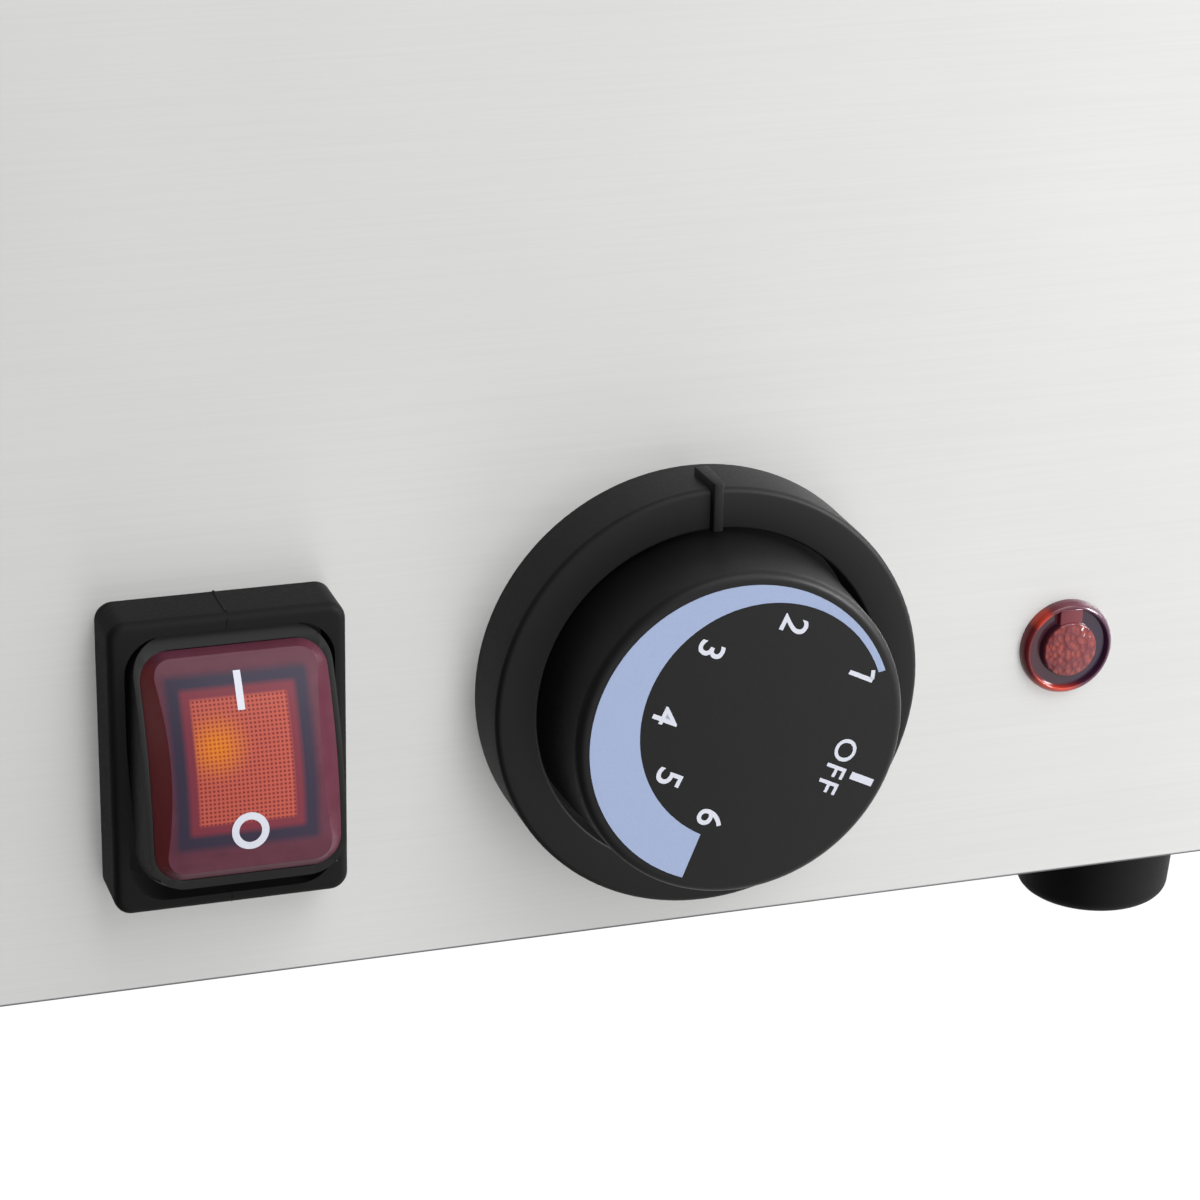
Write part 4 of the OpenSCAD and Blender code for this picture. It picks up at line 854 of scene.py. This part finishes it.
# %% Switch flange
SWITCH_X, SWITCH_Z = joint_at["rocker_tilt"].x, joint_at["rocker_tilt"].z
SWITCH_PLACE = panel_place(SWITCH_X, SWITCH_Z)
BOOT_W, BOOT_L, BOOT_T, BOOT_R, BOOT_ROUND = 31.4, 41.0, 8.4, 2.4, 1.1
MOUTH_W, MOUTH_L, MOUTH_R, MOUTH_FLOOR = 27.7, 37.2, 5.2, 1.0
BOOT_SHIFT = Vector((-0.25, 0.2, 0.0))
FIRST_INSET, STEEP = 1.0, 0.02
boot = slab(BOOT_W, BOOT_L, 0.0, BOOT_T, BOOT_R)
mouth = top_face(boot)
outer_rim = rim_edges(boot, BOOT_T)
bmesh.ops.inset_region(boot, faces=[mouth], thickness=FIRST_INSET * MM, use_even_offset=True)
for vert in mouth.verts:
    corner_x = abs(vert.co.x) / MM - BOOT_W / 2 + BOOT_R
    corner_y = abs(vert.co.y) / MM - BOOT_L / 2 + BOOT_R
    angle = math.atan2(corner_y, corner_x)
    vert.co.x = math.copysign((MOUTH_W / 2 - MOUTH_R + MOUTH_R * math.cos(angle)) * MM, vert.co.x)
    vert.co.y = math.copysign((MOUTH_L / 2 - MOUTH_R + MOUTH_R * math.sin(angle)) * MM, vert.co.y)
    vert.co -= BOOT_SHIFT * MM
bmesh.ops.inset_region(
    boot, faces=[mouth], thickness=STEEP * MM, depth=-(BOOT_T - MOUTH_FLOOR) * MM, use_even_offset=True
)
soften(boot, outer_rim, BOOT_ROUND)
shift(boot, *BOOT_SHIFT)
finish_piece("switch_flange", boot, moulded_rubber, "base", SWITCH_PLACE, ["switch_boot"])

# %% Moulding lines
SEAM_W, SEAM_T, SEAM_TRIM, SEAM_BACK = 0.3, 0.2, 0.8, 0.3
end_wall = (BOOT_L - MOUTH_L) / 2
wall_h = BOOT_T - BOOT_ROUND
wall_seam = (SEAM_W, wall_h, BOOT_L / 2, wall_h / 2)
face_seam = (end_wall - SEAM_TRIM, SEAM_T, BOOT_L / 2 - end_wall / 2 - SEAM_BACK, BOOT_T)
seams = [
    block(SEAM_W, deep, tall, BOOT_SHIFT + Vector((0, end * y, z)))
    for end in (-1, 1)
    for deep, tall, y, z in (wall_seam, face_seam)
]
finish_piece(
    "switch_flange_seams", gather(seams), moulded_rubber, "base", SWITCH_PLACE
)

# %% [markdown]
# ## The rocker and its cap
# The rocker tips about a pin behind the panel; here its upper half is pressed in, so it is on and lit. A
# black collar holds a vaulted cap and follows its vault. The vault comes from slicing a slab crosswise and
# lowering each slice by the square of its distance from the middle, a little more at the cap's crown than
# at its rim. The cap's face is waisted: its sloped flanks are broad in the middle and narrow at the ends.

# %% Rocker collar
ROCKER_TILT = -17.0
PIVOT = PANEL_Y - joint_at["rocker_tilt"].y
ROCKER_PLACE = panel_place(SWITCH_X, SWITCH_Z, ROCKER_TILT, PIVOT)
ROCKER_W, ROCKER_L, ROCKER_LOW, ROCKER_TOP, ROCKER_SAG = 27.0, 33.4, 7.4, 15.5, 3.2
COLLAR_R, COLLAR_WALL, COLLAR_ROUND, COLLAR_FOLD, POCKET_DEEP = 5.2, 0.75, 0.3, 50, 6.0
COLLAR_TAPER = (0.965, 0.985, 1.0)
POCKET_SHARE = (1.0, 0.95, 1.0)
CAP_SHIFT = -0.3
SLICE_REACH, SLICE_STEP = 15, 2
LEVEL_SLACK = 0.001


def arch(mesh, low, high, low_sag, high_sag):
    """Bends the points from one level to the next into a vault that sags more and more."""
    for vert in mesh.verts:
        share = (vert.co.z / MM - low) / (high - low)
        if share > -LEVEL_SLACK:
            sag = low_sag + share * (high_sag - low_sag)
            vert.co.z -= sag * (2 * vert.co.y / MM / ROCKER_L) ** 2 * MM


def slice_crosswise(mesh):
    """Cuts a mesh at even steps along its length so that it can bend."""
    for step in range(-SLICE_REACH, SLICE_REACH + 1, SLICE_STEP):
        everything = mesh.verts[:] + mesh.edges[:] + mesh.faces[:]
        bmesh.ops.bisect_plane(mesh, geom=everything, plane_co=(0, step * MM, 0), plane_no=(0, 1, 0))


def shoulders(mesh, above, angle):
    """The edges over a height whose faces meet at more than an angle."""
    return [
        e for e in mesh.edges
        if all(v.co.z > above * MM for v in e.verts)
        and len(e.link_faces) == 2 and e.calc_face_angle(0.0) > math.radians(angle)
    ]


collar = slab(ROCKER_W, ROCKER_L, ROCKER_LOW, ROCKER_TOP, COLLAR_R, 12)
upper = [v for v in collar.verts if v.co.z > (ROCKER_LOW + ROCKER_TOP) / 2 * MM]
bmesh.ops.scale(collar, vec=COLLAR_TAPER, verts=upper)
pocket = top_face(collar)
bmesh.ops.inset_region(collar, faces=[pocket], thickness=COLLAR_WALL * MM, use_even_offset=True)
bmesh.ops.scale(collar, vec=POCKET_SHARE, verts=pocket.verts)
bmesh.ops.translate(collar, vec=(0, CAP_SHIFT * MM, 0), verts=pocket.verts)
bmesh.ops.inset_region(
    collar, faces=[pocket], thickness=STEEP * MM, depth=-POCKET_DEEP * MM, use_even_offset=True
)
slice_crosswise(collar)
arch(collar, ROCKER_TOP - 1, ROCKER_TOP, ROCKER_SAG, ROCKER_SAG)
soften(collar, shoulders(collar, ROCKER_LOW + 3, COLLAR_FOLD), COLLAR_ROUND, 3)
finish_piece(
    "rocker_collar", collar, satin_abs, "rocker_body", ROCKER_PLACE, ["switch_rocker"]
)

# %% Rocker cap
CAP_W, CAP_L, CAP_LOW, CAP_RIM, CAP_CROWN, CAP_SAG = 24.5, 29.6, 10.0, 15.6, 17.4, 4.2
CAP_R, CAP_FLANK, CAP_ROUND, CAP_FOLD, WAIST = 3.8, 0.9, 0.35, 25, 0.135


def crown(y_mm):
    """Height of the cap's face over the panel at a distance from its middle."""
    return CAP_CROWN - CAP_SAG * (2 * y_mm / ROCKER_L) ** 2


vault = slab(CAP_W, CAP_L, CAP_LOW, CAP_RIM, CAP_R)
face = top_face(vault)
shift(vault, y=CAP_SHIFT)
bmesh.ops.inset_region(
    vault, faces=[face], thickness=CAP_FLANK * MM, depth=(CAP_CROWN - CAP_RIM) * MM, use_even_offset=True
)
slice_crosswise(vault)
for vert in vault.verts:
    rise = max(0.0, (vert.co.z / MM - CAP_RIM) / (CAP_CROWN - CAP_RIM))
    vert.co.x *= 1 - rise * WAIST * (1 - (2 * vert.co.y / MM / CAP_L) ** 2)
arch(vault, CAP_RIM, CAP_CROWN, ROCKER_SAG, CAP_SAG)
soften(vault, shoulders(vault, CAP_LOW + 1, CAP_FOLD), CAP_ROUND, 3)
plan_layer = vault.loops.layers.uv.new("plan")
for face in vault.faces:
    for loop in face.loops:
        loop[plan_layer].uv = loop.vert.co.xy / MM / PLAN_MM + Vector((0.5, 0.5))
finish_piece(
    "rocker_cap", vault, lit_cap, "rocker_body", ROCKER_PLACE,
    ["switch_lens", "switch_diffuser"],
)

# %% [markdown]
# ## The I and O marks
# The two marks are printed on the cap and follow its vault. A grid and a ring are cut fine enough to bend,
# then each point is dropped on to the crown.

# %% Switch marks
I_MARK, I_W, I_L = 8.9, 0.95, 5.0
O_MARK, O_IN, O_OUT = -9.3, 1.5, 2.45
OVER_CAP = 0.03


def drape(mesh):
    """Lays a flat print on the cap's vault."""
    for vert in mesh.verts:
        vert.co.z += (crown(vert.co.y / MM) + OVER_CAP) * MM
    return mesh


bar = patch(I_W, I_L, 2, 10)
shift(bar, y=I_MARK)
loop_mark = bmesh.new()
for radius in (O_IN, O_OUT):
    arc(loop_mark, (0, O_MARK), radius, 0, 360)
bmesh.ops.remove_doubles(loop_mark, verts=loop_mark.verts, dist=MERGE)
bmesh.ops.bridge_loops(loop_mark, edges=loop_mark.edges[:])
switch_marks = gather([drape(thicken(bar)), drape(thicken(loop_mark))])
finish_piece("rocker_marks", switch_marks, white_ink, "rocker_body", ROCKER_PLACE)

# %% [markdown]
# ## The lamp's head
# The head is a small turned lens: a thin rim, a wide groove and a raised field of pebbles, held by a lug at
# the top. Spinning one outline and rounding its rims gives the three zones that catch light differently.

# %% Lamp head
LAMP_R, LAMP_RIM, LAMP_FLOOR, LAMP_FACE, LAMP_EDGE, LAMP_DOME = 6.9, 1.7, 0.8, 2.1, 0.9, 0.3
FIELD_R, GROOVE_IN, GROOVE_OUT, RIM_IN, RIM_OUT = 4.0, 4.2, 5.7, 5.95, 6.35
LUG_W, LUG_L, LUG_T, LUG_AT, LUG_RISE, LUG_ROUND = 3.5, 2.6, 1.1, 4.7, 0.45, 0.2
lens = revolve(
    [(0, LAMP_FACE + LAMP_DOME), (FIELD_R, LAMP_FACE), (GROOVE_IN, LAMP_FLOOR), (GROOVE_OUT, LAMP_FLOOR),
     (RIM_IN, LAMP_RIM), (RIM_OUT, LAMP_RIM), (LAMP_R, LAMP_EDGE), (LAMP_R, 0), (0, 0)],
    96,
)
for radius, height, rounding in (
    (FIELD_R, LAMP_FACE, 0.25), (RIM_IN, LAMP_RIM, 0.15), (RIM_OUT, LAMP_RIM, 0.3), (LAMP_R, LAMP_EDGE, 0.35),
):
    soften(lens, ring_edges(lens, radius, height), rounding, 3)
lug = block(LUG_W, LUG_L, LUG_T, (0, LUG_AT, LAMP_FLOOR + LUG_RISE))
soften(lug, [e for e in lug.edges if all(v.co.z > LAMP_FLOOR * MM for v in e.verts)], LUG_ROUND, 3)
lamp_place = panel_place(lamp_at.x, lamp_at.z)
finish_piece("lamp_head", gather([lens, lug]), lamp_red, "base", lamp_place, ["lamp_lens"])

# %% [markdown]
# ## The feet
# The feet are tapered rubber pucks with a full lower edge, so they sit softly on the counter. Each has the
# recess for its screw.

# %% Feet
FOOT_H, FOOT_R, FOOT_LOW_R, FOOT_COLLAR = 13.5, 12.2, 11.2, 2.0
FOOT_BORE, FOOT_DEEP, FOOT_SCREW_R = 5.65, 6.0, 2.7
FOOT_LOW_ROUND, FOOT_TOP_ROUND = 2.1, 0.6
for name in ("foot_fl", "foot_fr", "foot_rl", "foot_rr"):
    low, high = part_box(name)
    puck = revolve(
        [(FOOT_SCREW_R, FOOT_H), (FOOT_R, FOOT_H), (FOOT_R, FOOT_H - FOOT_COLLAR), (FOOT_LOW_R, 0),
         (FOOT_BORE, 0), (FOOT_BORE, FOOT_DEEP), (FOOT_SCREW_R, FOOT_DEEP), (FOOT_SCREW_R, FOOT_H)],
        96,
    )
    soften(puck, ring_edges(puck, FOOT_LOW_R, 0), FOOT_LOW_ROUND, 6)
    soften(puck, ring_edges(puck, FOOT_R, FOOT_H), FOOT_TOP_ROUND, 3)
    spot = Matrix.Translation(((low.x + high.x) / 2, (low.y + high.y) / 2, 0))
    finish_piece(name + "_puck", puck, moulded_rubber, "base", spot, [name])

# %% [markdown]
# ## Floor and room
# The machine was shot on white, so the floor is plain and pale and mostly gives its own light, which keeps
# only a breath of shadow. A real white floor would also brighten the black pieces from below, which the
# picture doesn't show, so diffuse and glossy rays don't see it. The room is bright on the right and behind
# and nearly dark on the left, which keeps the left walls of the black pieces deep.

# %% Floor and room
FLOOR_REACH = 30.0
floor_white, tree = empty_material("pale_floor")
floor_tone = add_node(tree, "ShaderNodeTexNoise", None, {"Scale": 3.0, "Detail": 1.0})
floor_mix = add_node(
    tree, "ShaderNodeMix", {"data_type": "RGBA"},
    {0: floor_tone.outputs[0], 6: linear("#8a8a8a"), 7: linear("#929292")},
)
floor_shader = add_node(
    tree, "ShaderNodeBsdfPrincipled", None,
    {"Base Color": floor_mix.outputs[2], "Roughness": 0.9, "Specular IOR Level": 0.0,
     "Emission Color": linear("#ffffff"), "Emission Strength": 0.88},
)
add_node(tree, "ShaderNodeOutputMaterial", None, {"Surface": floor_shader.outputs[0]})
ground = bmesh.new()
bmesh.ops.create_grid(ground, x_segments=1, y_segments=1, size=FLOOR_REACH)
ground_data = bpy.data.meshes.new("floor")
ground.to_mesh(ground_data)
ground.free()
ground_data.materials.append(floor_white)
floor = bpy.data.objects.new("floor", ground_data)
scene.collection.objects.link(floor)
floor.visible_diffuse = floor.visible_glossy = False

SKY_RIGHT = (0, -0.5, 0.5, 0.05, 1.2)
SKY_BACK = (1, 0.0, 0.9, 0.12, 0.75)
room = bpy.data.worlds.new("white_room")
room.use_nodes = True
tree = room.node_tree
tree.nodes.clear()
sky_place = add_node(tree, "ShaderNodeTexCoord")
sky_xyz = add_node(tree, "ShaderNodeSeparateXYZ", None, {0: sky_place.outputs["Generated"]})
sides = [
    add_node(
        tree, "ShaderNodeMapRange", None,
        {0: sky_xyz.outputs[axis], 1: start, 2: end, 3: dim, 4: bright},
    )
    for axis, start, end, dim, bright in (SKY_RIGHT, SKY_BACK)
]
sky_level = add_node(
    tree, "ShaderNodeMath", {"operation": "MAXIMUM"}, {0: sides[0].outputs[0], 1: sides[1].outputs[0]}
)
sky = add_node(
    tree, "ShaderNodeBackground", None, {"Color": (1, 1, 1, 1), "Strength": sky_level.outputs[0]}
)
add_node(tree, "ShaderNodeOutputWorld", None, {"Surface": sky.outputs[0]})
scene.world = room
scene.view_settings.view_transform = "Standard"
print("floor reaches", FLOOR_REACH, "m; room:", room.name)

# %% [markdown]
# ## Three soft lamps
# One large lamp above and in front gives the panel its even tone. One from the front right lights the faces
# of the controls, and a weak one from the far right puts a line on their edges. Only the first casts a
# shadow, because a shadow of the dial would lie across the panel.

# %% Soft lamps
AIM = joint_at["knob_turn"]
SOFTBOXES = (
    ("top_softbox", (0.41, -1.30, 1.28), 1.0, 7.0, True),
    ("front_softbox", (1.40, -1.25, 0.50), 0.4, 31.0, False),
    ("rim_softbox", (1.5, -0.38, 0.50), 0.5, 5.0, False),
)
for name, spot, size, power, shadow in SOFTBOXES:
    lamp_data = bpy.data.lights.new(name, "AREA")
    lamp_data.size = size
    lamp_data.energy = power
    lamp_data.use_shadow = shadow
    softbox = bpy.data.objects.new(name, lamp_data)
    softbox.location = spot
    softbox.rotation_euler = (AIM - Vector(spot)).to_track_quat("-Z", "Y").to_euler()
    scene.collection.objects.link(softbox)
print("lamps:", len(SOFTBOXES))
